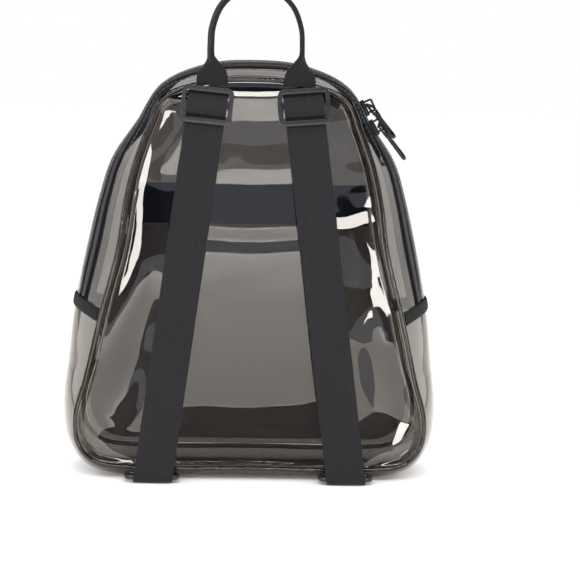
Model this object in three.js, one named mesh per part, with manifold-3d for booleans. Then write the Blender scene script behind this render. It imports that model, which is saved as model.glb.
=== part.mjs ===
// Mini backpack of clear smoke-grey vinyl, standing on its base.
// Millimetres, +Z up, origin on the floor under the middle of the bag. The back, with the shoulder straps,
// faces -Y, and +X is on the right of someone who looks at that back.

import * as THREE from 'three';
import { mergeVertices } from 'three/addons/utils/BufferGeometryUtils.js';
import Module from 'manifold-3d';

const wasm = await Module();
wasm.setup();

const { clamp, degToRad, euclideanModulo, lerp, smoothstep } = THREE.MathUtils;

// Driving dimensions
const DEPTH = 96; // from the back seam to the front seam
const HALF_DEPTH = DEPTH / 2;
const VINYL = 1.2; // thickness of the clear sheets
const GAP = 0.35; // clearance between neighbouring pieces
const PIPING_RADIUS = 1.9;
const PIPING_SIDES = 8;
const SEAM_INSET = PIPING_RADIUS + GAP; // from the seam line to the edge of a sheet
const STEPS_PER_ROW = 2; // outline stations for each row of the outline table
const NUDGE = 0.01; // parameter step for slopes

// Outline of the bag, its right half from the middle of the base to the middle of the top.
// The seam columns are the line where a panel meets the gusset, the bulge columns the gusset's widest line,
// and flat is the share of the depth over which the gusset stays level at that widest line.
const OUTLINE = [
  { place: 'base middle', seamX: 0, seamZ: 9, bulgeX: 0, bulgeZ: 0, flat: 0.62 },
  { place: 'base outer', seamX: 88, seamZ: 9, bulgeX: 92, bulgeZ: 0, flat: 0.62 },
  { place: 'corner low', seamX: 115, seamZ: 13, bulgeX: 122, bulgeZ: 7, flat: 0.5 },
  { place: 'corner high', seamX: 127, seamZ: 25, bulgeX: 137, bulgeZ: 24, flat: 0.25 },
  { place: 'hip', seamX: 130, seamZ: 46, bulgeX: 142, bulgeZ: 50, flat: 0.1 },
  { place: 'flank', seamX: 122.5, seamZ: 76, bulgeX: 139, bulgeZ: 87, flat: 0 },
  { place: 'zip end', seamX: 112, seamZ: 122, bulgeX: 133.5, bulgeZ: 131, flat: 0 },
  { place: 'side', seamX: 99.5, seamZ: 172, bulgeX: 124.5, bulgeZ: 176, flat: 0 },
  { place: 'shoulder low', seamX: 94.5, seamZ: 206, bulgeX: 116.5, bulgeZ: 209, flat: 0 },
  { place: 'shoulder', seamX: 88.5, seamZ: 233, bulgeX: 107, bulgeZ: 238, flat: 0 },
  { place: 'brow', seamX: 78.5, seamZ: 261, bulgeX: 89, bulgeZ: 265.5, flat: 0 },
  { place: 'crown outer', seamX: 68, seamZ: 283.5, bulgeX: 70.5, bulgeZ: 294, flat: 0 },
  { place: 'crown', seamX: 35, seamZ: 295.5, bulgeX: 37, bulgeZ: 309.5, flat: 0 },
  { place: 'top middle', seamX: 0, seamZ: 298, bulgeX: 0, bulgeZ: 313, flat: 0 },
];
const HALF_ROWS = OUTLINE.length - 1;
const LOOP_ROWS = 2 * HALF_ROWS;
const ZIP_END_ROW = OUTLINE.findIndex((row) => row.place === 'zip end');

// Columns of the lower gusset across the depth, -1 at the back seam and 1 at the front seam
const LOWER_COLUMNS = [-1, -0.81, -0.62, -0.3, 0, 0.3, 0.62, 0.81, 1];

// Main zip: places across the gusset's depth, lengths along it in outline rows, heights in millimetres
const ZIP_CENTRE = -0.53;
const ZIP_SLOT_HALF = 0.15;
const ZIP_TAPE_HALF = 0.24;
const ZIP_COIL_HALF = 0.06;
const ZIP_TAPE_THICKNESS = 1;
const ZIP_COIL_TOP = 0.8;
const JOINT_HALF = 0.005;
const BAND_HALF = 0.1;
const COIL_SETBACK = 0.02; // from the band's edge to the coil's end
const BAND_THICKNESS = 1.3;

// Dents pressed into the panels, measured inwards from the flat sheet
const BACK_DENTS = [
  { place: 'right waist', x: 78, z: 176, depth: 5, spreadX: 16, spreadZ: 30 },
  { place: 'left waist', x: -80, z: 205, depth: 4, spreadX: 15, spreadZ: 40 },
  { place: 'between the straps', x: 0, z: 165, depth: 3.5, spreadX: 34, spreadZ: 75 },
  { place: 'left hip', x: -98, z: 70, depth: 4, spreadX: 16, spreadZ: 30 },
  { place: 'right hip', x: 100, z: 82, depth: 4, spreadX: 16, spreadZ: 34 },
];
const FRONT_DENTS = [
  { place: 'behind the pocket', x: 0, z: 105, depth: 2, spreadX: 60, spreadZ: 45 },
  { place: 'left of the top', x: -35, z: 250, depth: 1.5, spreadX: 20, spreadZ: 16 },
];
const PANEL_CENTRE_Z = 145;
const PANEL_RINGS = [1, 0.9, 0.74, 0.55, 0.32];
const DENT_FADE = 4; // power by which a dent fades out towards the seam

// Front pocket
const POCKET_BOTTOM = 15;
const POCKET_ZIP_BOTTOM = 184;
const POCKET_TOP = 217;
const POCKET_BULGE = 15;
const POCKET_INSET = 5;
const POCKET_COLUMNS = 16;
const POCKET_ROWS = [0, 0.03, 0.1, 0.22, 0.38, 0.56, 0.75, 0.9, 1];
const POCKET_FULLNESS = { edge: 4, rise: 0.6 }; // powers: a high edge and a low rise give a boxier bulge
const POCKET_COIL = { halfHeight: 2.5, reach: 0.94, thickness: 1.4 };
const POCKET_SLIDER_X = -62;
const POCKET_HEAD = { halfWidth: 4.5, halfHeight: 6, radius: 2, thickness: 2.4, drop: 0 };
const POCKET_TAB = { halfWidth: 3.6, halfHeight: 14, radius: 3, thickness: 1.7, drop: 17 };

// Webbing and its hardware
const WEB_WIDTH = 29;
const WEB_THICKNESS = 1.4;
const STRAP_LEAN = 0.13; // sideways run for each millimetre down
const STRAP_TOP_X = 35.5; // middle of the webbing at the slide
const STRAP_JOIN_Z = 30; // above this height the two layers lie together
const STRAP_LEVEL_Z = 40; // below this height the webbing's cross lines are level
const STRAP_TILT_Z = 240; // above this height they tilt with the slide
const SLIDE_Z = 279;
const SLIDE_TILT = degToRad(5);
const SLIDE = { width: 38, height: 27, radius: 5, slotWidth: 31.5, barHalf: 2, slotTop: 9.8, thickness: 3.4 };
const SLIDE_BACK = 5.1; // from the back panel to the slide
const RING_RADIUS = 2.2;
const RING_SIDES = 8;
const RING_HALF_WIDTH = 18.6;
const RING_CORNER = 2.6;
const RING_OUTER = { out: 14.5, z: 4.6 }; // bar that carries the strap
const RING_INNER = { out: 5.2, z: 5.5 }; // bar that the tab holds
const RING_SHIFT = { left: -1.2, right: 0 }; // the left ring lies off the middle of its strap
const RING_TAB_WIDTH = 27;

// Haul handle, its right half from the sewn foot to the middle of the loop. Turn is how far the webbing's width
// has turned from across the bag (0) to along its depth (1).
const HANDLE_ROWS = [
  { place: 'foot end', x: 32, y: -51.55, z: 293.4, halfWidth: 11.5, halfThickness: 1.2, turn: 0 },
  { place: 'foot', x: 32, y: -51.5, z: 298, halfWidth: 11.6, halfThickness: 1.2, turn: 0 },
  { place: 'foot top', x: 32.2, y: -50.6, z: 303.5, halfWidth: 10.2, halfThickness: 1.4, turn: 0.08 },
  { place: 'neck low', x: 32.8, y: -49, z: 309.5, halfWidth: 6.2, halfThickness: 2.2, turn: 0.45 },
  { place: 'neck', x: 33.3, y: -48, z: 315, halfWidth: 5.2, halfThickness: 2, turn: 0.9 },
  { place: 'leg', x: 33.4, y: -47.5, z: 323, halfWidth: 6, halfThickness: 1.8, turn: 1 },
  { place: 'leg high', x: 32.4, y: -47.5, z: 336, halfWidth: 6, halfThickness: 1.8, turn: 1 },
  { place: 'bend', x: 26.5, y: -47.5, z: 351, halfWidth: 6, halfThickness: 1.8, turn: 1 },
  { place: 'shoulder', x: 15, y: -47.5, z: 361.5, halfWidth: 6, halfThickness: 1.8, turn: 1 },
  { place: 'loop middle', x: 0, y: -47.5, z: 365.5, halfWidth: 6, halfThickness: 1.8, turn: 1 },
];
const HANDLE_STEPS = 2;
const HANDLE_LEFT_TURN = 0.86; // the left leg shows a little of its face

// Zip sliders and pulls. Row places the slider along the zip, the angles place the pull on its slider.
const SLIDERS = [
  { name: 'upper', row: 10.46, swing: 27, twist: 16, standOff: 14 },
  { name: 'lower', row: 9.95, swing: -8, twist: 0, standOff: 6 },
];
const SLIDER = { length: 12.5, noseHalf: 2.4, tailHalf: 3.8, plate: 2.4 };
const SLIDER_NOSE_SHARE = 0.3; // where the slider's sides start to round in to its nose
const BRIDGE = { halfLength: 5, halfWidth: 1.3, top: 8.8, thickness: 1.4, foot: 1.5, corner: 2 };
const PULL = { length: 33, rootHalf: 5.4, neckHalf: 3.6, tipHalf: 4.8, thickness: 1.6, shoulder: 2 };
const PULL_WINDOW = { half: 4.1, end: 7.4 };
const PULL_EYE = { centre: 26.6, halfLength: 4.4, halfWidth: 2.7 };
const PULL_BAR_RADIUS = 1.15;
const PULL_BAR_SIDES = 12;
const PULL_AXIS = BRIDGE.top - BRIDGE.thickness - 2 * GAP - PULL_BAR_RADIUS; // the bar hangs under the bridge

// Binding inside the top edge of the back panel
const BINDING_ROWS = 1.9; // reach on each side of the top middle, in outline rows
const BINDING_INSET = 2.5;
const BINDING_WIDTH = 7;
const BINDING_THICKNESS = 1;

const VINYL_LOOK = new THREE.MeshStandardMaterial({
  color: 0x8f8a84, roughness: 0.1, metalness: 0, transparent: true, opacity: 0.5,
});
const PIPING_LOOK = new THREE.MeshStandardMaterial({ color: 0x3c3936, roughness: 0.15, metalness: 0 });
const WEB_LOOK = new THREE.MeshStandardMaterial({ color: 0x39393d, roughness: 0.85, metalness: 0 });
const HANDLE_LOOK = new THREE.MeshStandardMaterial({ color: 0x2f2b2a, roughness: 0.85, metalness: 0 });
const TAPE_LOOK = new THREE.MeshStandardMaterial({ color: 0x1d1c1d, roughness: 0.8, metalness: 0 });
const COIL_LOOK = new THREE.MeshStandardMaterial({ color: 0x27272a, roughness: 0.35, metalness: 0 });
const PLASTIC_LOOK = new THREE.MeshStandardMaterial({ color: 0x3a3f42, roughness: 0.4, metalness: 0 });
const METAL_LOOK = new THREE.MeshStandardMaterial({ color: 0x242426, roughness: 0.35, metalness: 0.6 });

const backpack = new THREE.Group();

// Meshes and solids

function addPiece(parent, name, geometry, material) {
  const mesh = new THREE.Mesh(geometry, material);
  mesh.name = name;
  parent.add(mesh);
  return mesh;
}

// Closed mesh from points and triangles, with its faces turned outwards.
function closedMesh(points, triangles) {
  const volume = triangles.reduce((sum, [a, b, c]) => {
    const normal = new THREE.Vector3().crossVectors(points[b], points[c]);
    return sum + points[a].dot(normal);
  }, 0);
  const outward = volume > 0 ? triangles : triangles.map(([a, b, c]) => [a, c, b]);
  const geometry = new THREE.BufferGeometry().setFromPoints(points);
  geometry.setIndex(outward.flat());
  geometry.computeVertexNormals();
  return geometry;
}

function quad(a, b, c, d) {
  return [[a, b, c], [a, c, d]];
}

// Sheet between two grids of points of the same size, closed along its four edges.
function sheetBetween(outer, inner) {
  const rows = outer.length;
  const columns = outer[0].length;
  const points = [...outer.flat(), ...inner.flat()];
  const top = (i, j) => i * columns + j;
  const under = (i, j) => rows * columns + top(i, j);
  const triangles = [];
  for (let i = 0; i < rows - 1; i += 1) {
    for (let j = 0; j < columns - 1; j += 1) {
      triangles.push(...quad(top(i, j), top(i + 1, j), top(i + 1, j + 1), top(i, j + 1)));
      triangles.push(...quad(under(i, j), under(i, j + 1), under(i + 1, j + 1), under(i + 1, j)));
    }
  }
  for (let i = 0; i < rows - 1; i += 1) {
    const last = columns - 1;
    triangles.push(...quad(top(i, 0), under(i, 0), under(i + 1, 0), top(i + 1, 0)));
    triangles.push(...quad(top(i, last), top(i + 1, last), under(i + 1, last), under(i, last)));
  }
  for (let j = 0; j < columns - 1; j += 1) {
    const last = rows - 1;
    triangles.push(...quad(top(0, j), top(0, j + 1), under(0, j + 1), under(0, j)));
    triangles.push(...quad(top(last, j), under(last, j), under(last, j + 1), top(last, j + 1)));
  }
  return closedMesh(points, triangles);
}

// Disc between two sets of rings that shrink towards a middle point.
function discBetween(outerRings, outerMiddle, innerRings, innerMiddle) {
  const count = outerRings[0].length;
  const rings = outerRings.length;
  const points = [...outerRings.flat(), outerMiddle, ...innerRings.flat(), innerMiddle];
  const half = rings * count + 1;
  const triangles = [];
  for (let j = 0; j < count; j += 1) {
    const k = (j + 1) % count;
    for (let i = 0; i < rings - 1; i += 1) {
      const near = i * count;
      const far = near + count;
      triangles.push(...quad(near + j, near + k, far + k, far + j));
      triangles.push(...quad(half + near + j, half + far + j, half + far + k, half + near + k));
    }
    const last = (rings - 1) * count;
    triangles.push([last + j, last + k, half - 1]);
    triangles.push([half + last + k, half + last + j, 2 * half - 1]);
    triangles.push(...quad(j, half + j, half + k, k));
  }
  return closedMesh(points, triangles);
}

// Round cord along a closed loop that lies in a plane.
function loopCord(loop, planeNormal, radius, sides) {
  const count = loop.length;
  const points = [];
  const triangles = [];
  loop.forEach((point, i) => {
    const before = loop[(i + count - 1) % count];
    const after = loop[(i + 1) % count];
    const sideways = after.clone().sub(before).normalize().cross(planeNormal);
    for (let j = 0; j < sides; j += 1) {
      const angle = (2 * Math.PI * j) / sides;
      const offset = sideways.clone().multiplyScalar(radius * Math.cos(angle));
      points.push(offset.addScaledVector(planeNormal, radius * Math.sin(angle)).add(point));
      const next = ((i + 1) % count) * sides;
      const k = (j + 1) % sides;
      triangles.push(...quad(i * sides + j, i * sides + k, next + k, next + j));
    }
  });
  return closedMesh(points, triangles);
}

function solidOf(geometry) {
  const bare = geometry.clone();
  bare.deleteAttribute('normal');
  bare.deleteAttribute('uv');
  const merged = mergeVertices(bare, 1e-4);
  const mesh = new wasm.Mesh({
    numProp: 3,
    vertProperties: new Float32Array(merged.attributes.position.array),
    triVerts: new Uint32Array(merged.index.array),
  });
  return new wasm.Manifold(mesh);
}

function geometryOf(solid) {
  const mesh = solid.getMesh();
  const geometry = new THREE.BufferGeometry();
  geometry.setAttribute('position', new THREE.BufferAttribute(new Float32Array(mesh.vertProperties), 3));
  geometry.setIndex(new THREE.BufferAttribute(new Uint32Array(mesh.triVerts), 1));
  geometry.computeVertexNormals();
  return geometry;
}

// Shape drawn in a plane and given a thickness, which is centred on that plane.
function plateOf(shape, thickness, curveSegments = 4) {
  const geometry = new THREE.ExtrudeGeometry(shape, { depth: thickness, bevelEnabled: false, curveSegments });
  return geometry.translate(0, 0, -thickness / 2);
}

function roundedRectangle(target, halfX, halfY, radius, centreY = 0) {
  target.moveTo(-halfX + radius, centreY - halfY);
  target.lineTo(halfX - radius, centreY - halfY);
  target.absarc(halfX - radius, centreY - halfY + radius, radius, -Math.PI / 2, 0);
  target.lineTo(halfX, centreY + halfY - radius);
  target.absarc(halfX - radius, centreY + halfY - radius, radius, 0, Math.PI / 2);
  target.lineTo(-halfX + radius, centreY + halfY);
  target.absarc(-halfX + radius, centreY + halfY - radius, radius, Math.PI / 2, Math.PI);
  target.lineTo(-halfX, centreY - halfY + radius);
  target.absarc(-halfX + radius, centreY - halfY + radius, radius, Math.PI, 1.5 * Math.PI);
  return target;
}

// Outline of the bag

function outlineLoop(columnX, columnZ) {
  const right = OUTLINE.map((row) => new THREE.Vector3(row[columnX], 0, row[columnZ]));
  const inside = OUTLINE.slice(1, -1).reverse();
  const left = inside.map((row) => new THREE.Vector3(-row[columnX], 0, row[columnZ]));
  return new THREE.CatmullRomCurve3([...right, ...left], true);
}

const seamLoop = outlineLoop('seamX', 'seamZ');
const bulgeLoop = outlineLoop('bulgeX', 'bulgeZ');

function seamPoint(u) {
  return seamLoop.getPoint(euclideanModulo(u, LOOP_ROWS) / LOOP_ROWS);
}

function bulgePoint(u) {
  const point = bulgeLoop.getPoint(euclideanModulo(u, LOOP_ROWS) / LOOP_ROWS);
  point.z = Math.max(point.z, 0);
  return point;
}

function flatShare(u) {
  const around = euclideanModulo(u, LOOP_ROWS);
  const row = Math.min(around, LOOP_ROWS - around);
  const below = Math.min(Math.floor(row), HALF_ROWS - 1);
  return lerp(OUTLINE[below].flat, OUTLINE[below + 1].flat, row - below);
}

// Outer face of the gusset: u runs round the outline in table rows, v from the back seam to the front seam.
function gussetPoint(u, v) {
  const flat = flatShare(u);
  const slope = Math.max(0, (Math.abs(v) - flat) / (1 - flat));
  const point = bulgePoint(u).lerp(seamPoint(u), slope * slope);
  point.y = v * HALF_DEPTH;
  return point;
}

function gussetNormal(u, v) {
  const along = gussetPoint(u + NUDGE, v).sub(gussetPoint(u - NUDGE, v));
  const across = gussetPoint(u, v + NUDGE).sub(gussetPoint(u, v - NUDGE));
  return across.cross(along).normalize();
}

function gussetAt(u, v, lift) {
  return gussetPoint(u, v).addScaledVector(gussetNormal(u, v), lift);
}

// Place across the depth where a gusset sheet stops short of the piping.
function gussetEdge(u) {
  const reach = bulgePoint(u).distanceTo(seamPoint(u));
  const slope = Math.hypot(HALF_DEPTH, (2 * reach) / (1 - flatShare(u)));
  return 1 - SEAM_INSET / slope;
}

// Stations from one place on the outline to another, shared by every piece in between.
function stations(start, end) {
  const first = Math.floor(start * STEPS_PER_ROW) + 1;
  const last = Math.ceil(end * STEPS_PER_ROW) - 1;
  const between = Array.from({ length: last - first + 1 }, (_, i) => (first + i) / STEPS_PER_ROW);
  return [start, ...between, end];
}

function gussetSheet(start, end, columns, top, bottom) {
  const grid = (lift) => stations(start, end).map((u) => columns.map((v) => {
    const edge = gussetEdge(u);
    return gussetAt(u, clamp(v, -edge, edge), lift);
  }));
  return sheetBetween(grid(top), grid(bottom));
}

function evenly(start, end, steps) {
  return Array.from({ length: steps + 1 }, (_, i) => lerp(start, end, i / steps));
}

const allStations = Array.from({ length: LOOP_ROWS * STEPS_PER_ROW }, (_, i) => i / STEPS_PER_ROW);

// Point in the plane of a panel, moved in from the seam line.
function seamInset(u, inset) {
  const along = seamPoint(u + NUDGE).sub(seamPoint(u - NUDGE)).normalize();
  const inward = new THREE.Vector3(-along.z, 0, along.x);
  return seamPoint(u).addScaledVector(inward, inset);
}

// Panels

function dentDepth(dents, x, z) {
  return dents.reduce((sum, dent) => {
    const far = ((x - dent.x) / dent.spreadX) ** 2 + ((z - dent.z) / dent.spreadZ) ** 2;
    return sum + dent.depth * Math.exp(-far);
  }, 0);
}

// Panel at one seam; facing is -1 for the back and 1 for the front.
function panel(facing, dents) {
  const middle = new THREE.Vector3(0, 0, PANEL_CENTRE_Z);
  const shift = (point, ring, inside) => {
    const dent = dentDepth(dents, point.x, point.z) * (1 - ring ** DENT_FADE);
    return point.setY(facing * (HALF_DEPTH - dent - inside));
  };
  const ringPoints = (ring, inside) => allStations.map((u) => {
    const point = seamInset(u, SEAM_INSET).sub(middle).multiplyScalar(ring).add(middle);
    return shift(point, ring, inside);
  });
  const rings = (inside) => PANEL_RINGS.map((ring) => ringPoints(ring, inside));
  return discBetween(rings(0), shift(middle.clone(), 0, 0), rings(VINYL), shift(middle.clone(), 0, VINYL));
}

function seamPiping(facing) {
  const loop = allStations.map((u) => seamPoint(u).setY(facing * HALF_DEPTH));
  return loopCord(loop, new THREE.Vector3(0, 1, 0), PIPING_RADIUS, PIPING_SIDES);
}

addPiece(backpack, 'back_panel', panel(-1, BACK_DENTS), VINYL_LOOK);
addPiece(backpack, 'front_panel', panel(1, FRONT_DENTS), VINYL_LOOK);
addPiece(backpack, 'back_piping', seamPiping(-1), PIPING_LOOK);
addPiece(backpack, 'front_piping', seamPiping(1), PIPING_LOOK);

// Binding tape inside the top edge of the back panel
function topBinding() {
  const grid = (inside) => stations(HALF_ROWS - BINDING_ROWS, HALF_ROWS + BINDING_ROWS).map((u) => (
    evenly(BINDING_INSET, BINDING_INSET + BINDING_WIDTH, 1).map((inset) => (
      seamInset(u, inset).setY(-HALF_DEPTH + VINYL + GAP + inside)
    ))
  ));
  return sheetBetween(grid(0), grid(BINDING_THICKNESS));
}

addPiece(backpack, 'top_binding', topBinding(), TAPE_LOOK);

// Gusset and main zip
const zipStart = ZIP_END_ROW + JOINT_HALF;
const zipEnd = LOOP_ROWS - zipStart;
const coilStart = ZIP_END_ROW + BAND_HALF + COIL_SETBACK;
const tapeTop = -VINYL - GAP;
const lowerEnd = ZIP_END_ROW - JOINT_HALF;
const tapeSteps = [-ZIP_TAPE_HALF, -ZIP_SLOT_HALF, 0, ZIP_SLOT_HALF, ZIP_TAPE_HALF];
const tapeColumns = tapeSteps.map((step) => ZIP_CENTRE + step);
const backStripColumns = [-1, tapeColumns[0], tapeColumns[1]];
const frontStripColumns = [tapeColumns[3], ...evenly(tapeColumns[4], 1, 4)];
const coilColumns = evenly(ZIP_CENTRE - ZIP_COIL_HALF, ZIP_CENTRE + ZIP_COIL_HALF, 1);
const coilEnd = LOOP_ROWS - coilStart;

addPiece(backpack, 'lower_gusset', gussetSheet(-lowerEnd, lowerEnd, LOWER_COLUMNS, 0, -VINYL), VINYL_LOOK);
addPiece(backpack, 'zip_gusset_back', gussetSheet(zipStart, zipEnd, backStripColumns, 0, -VINYL), VINYL_LOOK);
addPiece(backpack, 'zip_gusset_front', gussetSheet(zipStart, zipEnd, frontStripColumns, 0, -VINYL), VINYL_LOOK);
addPiece(
  backpack,
  'zip_tape',
  gussetSheet(zipStart, zipEnd, tapeColumns, tapeTop, tapeTop - ZIP_TAPE_THICKNESS),
  TAPE_LOOK,
);
addPiece(
  backpack,
  'zip_coil',
  gussetSheet(coilStart, coilEnd, coilColumns, ZIP_COIL_TOP, tapeTop + GAP),
  COIL_LOOK,
);

// Bands over the ends of the zip
const bandColumns = evenly(-1, 1, 8);
const bandTop = GAP + BAND_THICKNESS;
for (const [side, row] of [['right', ZIP_END_ROW], ['left', LOOP_ROWS - ZIP_END_ROW]]) {
  const band = gussetSheet(row - BAND_HALF, row + BAND_HALF, bandColumns, bandTop, GAP);
  addPiece(backpack, `zip_end_band_${side}`, band, TAPE_LOOK);
}

// Zip sliders, each with its pull

function sliderBody() {
  const nose = SLIDER.length / 2;
  const plate = new THREE.Shape();
  plate.moveTo(-nose, -SLIDER.tailHalf);
  plate.lineTo(nose * SLIDER_NOSE_SHARE, -SLIDER.tailHalf);
  plate.quadraticCurveTo(nose, -SLIDER.tailHalf, nose, -SLIDER.noseHalf);
  plate.lineTo(nose, SLIDER.noseHalf);
  plate.quadraticCurveTo(nose, SLIDER.tailHalf, nose * SLIDER_NOSE_SHARE, SLIDER.tailHalf);
  plate.lineTo(-nose, SLIDER.tailHalf);
  plate.closePath();
  const base = plateOf(plate, SLIDER.plate).translate(0, 0, SLIDER.plate / 2);

  const { halfLength, halfWidth, top, thickness, foot, corner } = BRIDGE;
  const arch = new THREE.Shape();
  arch.moveTo(-halfLength, SLIDER.plate / 2);
  arch.lineTo(-halfLength, top - corner);
  arch.quadraticCurveTo(-halfLength, top, -halfLength + corner, top);
  arch.lineTo(halfLength - corner, top);
  arch.quadraticCurveTo(halfLength, top, halfLength, top - corner);
  arch.lineTo(halfLength, SLIDER.plate / 2);
  arch.lineTo(halfLength - foot, SLIDER.plate / 2);
  arch.lineTo(halfLength - foot, top - thickness);
  arch.lineTo(-halfLength + foot, top - thickness);
  arch.lineTo(-halfLength + foot, SLIDER.plate / 2);
  arch.closePath();
  const bridge = plateOf(arch, 2 * halfWidth).rotateX(Math.PI / 2);
  return geometryOf(solidOf(base).add(solidOf(bridge)));
}

// Pull tab, from its bar at the origin along +X, with a window round the bridge and an eye near its tip.
function pullTab() {
  const { length, rootHalf, neckHalf, tipHalf, thickness, shoulder } = PULL;
  const { half, end } = PULL_WINDOW;
  const tip = length - tipHalf;
  const root = -thickness / 2;
  const outline = new THREE.Shape();
  outline.moveTo(root, -rootHalf);
  outline.lineTo(end, -rootHalf);
  outline.quadraticCurveTo(end + shoulder, -rootHalf, end + 2 * shoulder, -neckHalf);
  outline.lineTo(tip, -tipHalf);
  outline.absarc(tip, 0, tipHalf, -Math.PI / 2, Math.PI / 2);
  outline.lineTo(end + 2 * shoulder, neckHalf);
  outline.quadraticCurveTo(end + shoulder, rootHalf, end, rootHalf);
  outline.lineTo(root, rootHalf);
  outline.closePath();
  const window = new THREE.Path();
  window.moveTo(-root, -half);
  window.lineTo(-root, half);
  window.lineTo(end, half);
  window.lineTo(end, -half);
  window.closePath();
  const eye = new THREE.Path();
  eye.absellipse(PULL_EYE.centre, 0, PULL_EYE.halfLength, PULL_EYE.halfWidth, 0, 2 * Math.PI, true);
  outline.holes.push(window, eye);
  const bar = new THREE.CylinderGeometry(PULL_BAR_RADIUS, PULL_BAR_RADIUS, 2 * rootHalf, PULL_BAR_SIDES);
  return geometryOf(solidOf(plateOf(outline, thickness, 6)).add(solidOf(bar)));
}

for (const { name, row, swing, twist, standOff } of SLIDERS) {
  const up = gussetNormal(row, ZIP_CENTRE);
  const down = gussetPoint(row - NUDGE, ZIP_CENTRE).sub(gussetPoint(row + NUDGE, ZIP_CENTRE)).normalize();
  const across = new THREE.Vector3().crossVectors(up, down);
  const carrier = new THREE.Group();
  carrier.position.copy(gussetAt(row, ZIP_CENTRE, ZIP_COIL_TOP + 2 * GAP));
  carrier.quaternion.setFromRotationMatrix(new THREE.Matrix4().makeBasis(down, across, up));
  backpack.add(carrier);
  addPiece(carrier, `zip_slider_${name}`, sliderBody(), METAL_LOOK);

  const hinge = new THREE.Group();
  hinge.position.z = PULL_AXIS;
  hinge.rotation.order = 'ZYX';
  hinge.rotation.set(degToRad(twist), -degToRad(standOff), -degToRad(swing));
  carrier.add(hinge);
  addPiece(hinge, `zip_pull_${name}`, pullTab(), METAL_LOOK);
}

// Front pocket: a bulged sheet over the lower front, with its zip along the top

function seamHalfWidth(z) {
  const side = allStations.filter((u) => u >= 1 && u <= HALF_ROWS).map(seamPoint);
  const above = side.findIndex((point) => point.z >= z);
  const low = side[above - 1];
  const high = side[above];
  return lerp(low.x, high.x, (z - low.z) / (high.z - low.z));
}

function pocketPoint(share, z, lift) {
  const halfWidth = seamHalfWidth(z - POCKET_INSET) - POCKET_INSET;
  const rise = (z - POCKET_BOTTOM) / (POCKET_TOP - POCKET_BOTTOM);
  const across = 1 - share ** POCKET_FULLNESS.edge;
  const upwards = (4 * rise * (1 - rise)) ** POCKET_FULLNESS.rise;
  const bulge = POCKET_BULGE * across * upwards;
  return new THREE.Vector3(share * halfWidth, HALF_DEPTH + GAP + bulge + lift, z);
}

function pocketSheet(levels, shares, inside, outside) {
  const grid = (lift) => levels.map((z) => shares.map((share) => pocketPoint(share, z, lift)));
  return sheetBetween(grid(outside), grid(inside));
}

const pocketShares = evenly(-1, 1, POCKET_COLUMNS);
const pocketLevels = POCKET_ROWS.map((share) => lerp(POCKET_BOTTOM, POCKET_ZIP_BOTTOM, share));
const pocketTapeLevels = evenly(POCKET_ZIP_BOTTOM + GAP, POCKET_TOP, 3);
const pocketCoilMiddle = (POCKET_ZIP_BOTTOM + POCKET_TOP) / 2;
const pocketCoilHalf = POCKET_COIL.halfHeight;
const pocketCoilLevels = evenly(pocketCoilMiddle - pocketCoilHalf, pocketCoilMiddle + pocketCoilHalf, 1);
const pocketCoilShares = evenly(-POCKET_COIL.reach, POCKET_COIL.reach, POCKET_COLUMNS);
const pocketCoilUnder = VINYL + 2 * GAP;
const pocketCoilTop = pocketCoilUnder + POCKET_COIL.thickness;
addPiece(backpack, 'pocket_panel', pocketSheet(pocketLevels, pocketShares, 0, VINYL), VINYL_LOOK);
addPiece(backpack, 'pocket_zip_tape', pocketSheet(pocketTapeLevels, pocketShares, 0, VINYL), TAPE_LOOK);
addPiece(
  backpack,
  'pocket_zip_coil',
  pocketSheet(pocketCoilLevels, pocketCoilShares, pocketCoilUnder, pocketCoilTop),
  COIL_LOOK,
);

// Slider of the pocket zip with its hanging tab, one plain piece
function pocketSlider() {
  const plate = ({ halfWidth, halfHeight, radius, thickness, drop }) => {
    const outline = roundedRectangle(new THREE.Shape(), halfWidth, halfHeight, radius, -drop);
    return solidOf(plateOf(outline, thickness));
  };
  const joined = plate(POCKET_HEAD).add(plate(POCKET_TAB));
  const share = POCKET_SLIDER_X / pocketPoint(1, pocketCoilMiddle, 0).x;
  const lift = pocketCoilTop + 2 * GAP + POCKET_HEAD.thickness / 2;
  const seat = pocketPoint(share, pocketCoilMiddle, lift);
  const below = pocketPoint(share, pocketCoilMiddle - POCKET_TAB.drop, lift);
  const mesh = addPiece(backpack, 'pocket_zip_slider', geometryOf(joined), METAL_LOOK);
  mesh.position.copy(seat);
  mesh.rotation.x = Math.PI / 2 + Math.atan2(below.y - seat.y, seat.z - below.z);
}

pocketSlider();

// Haul handle

function handleRow(position) {
  const last = HANDLE_ROWS.length - 1;
  const below = clamp(Math.floor(position), 0, last - 1);
  const t = position - below;
  const blend = (column) => {
    const [a, b, c, d] = [-1, 0, 1, 2].map((step) => HANDLE_ROWS[clamp(below + step, 0, last)][column]);
    const cubic = -a + 3 * b - 3 * c + d;
    return b + 0.5 * t * (c - a + t * (2 * a - 5 * b + 4 * c - d + t * cubic));
  };
  const columns = ['x', 'y', 'z', 'halfWidth', 'halfThickness', 'turn'];
  return Object.fromEntries(columns.map((column) => [column, blend(column)]));
}

// The handle's stations run from the right foot over the loop to the left foot.
function handleStations() {
  const count = (HANDLE_ROWS.length - 1) * HANDLE_STEPS;
  const right = Array.from({ length: count + 1 }, (_, i) => ({ ...handleRow(i / HANDLE_STEPS), side: 1 }));
  const left = right.slice(0, -1).reverse().map((row) => ({ ...row, x: -row.x, side: -1 }));
  return [...right, ...left];
}

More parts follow.
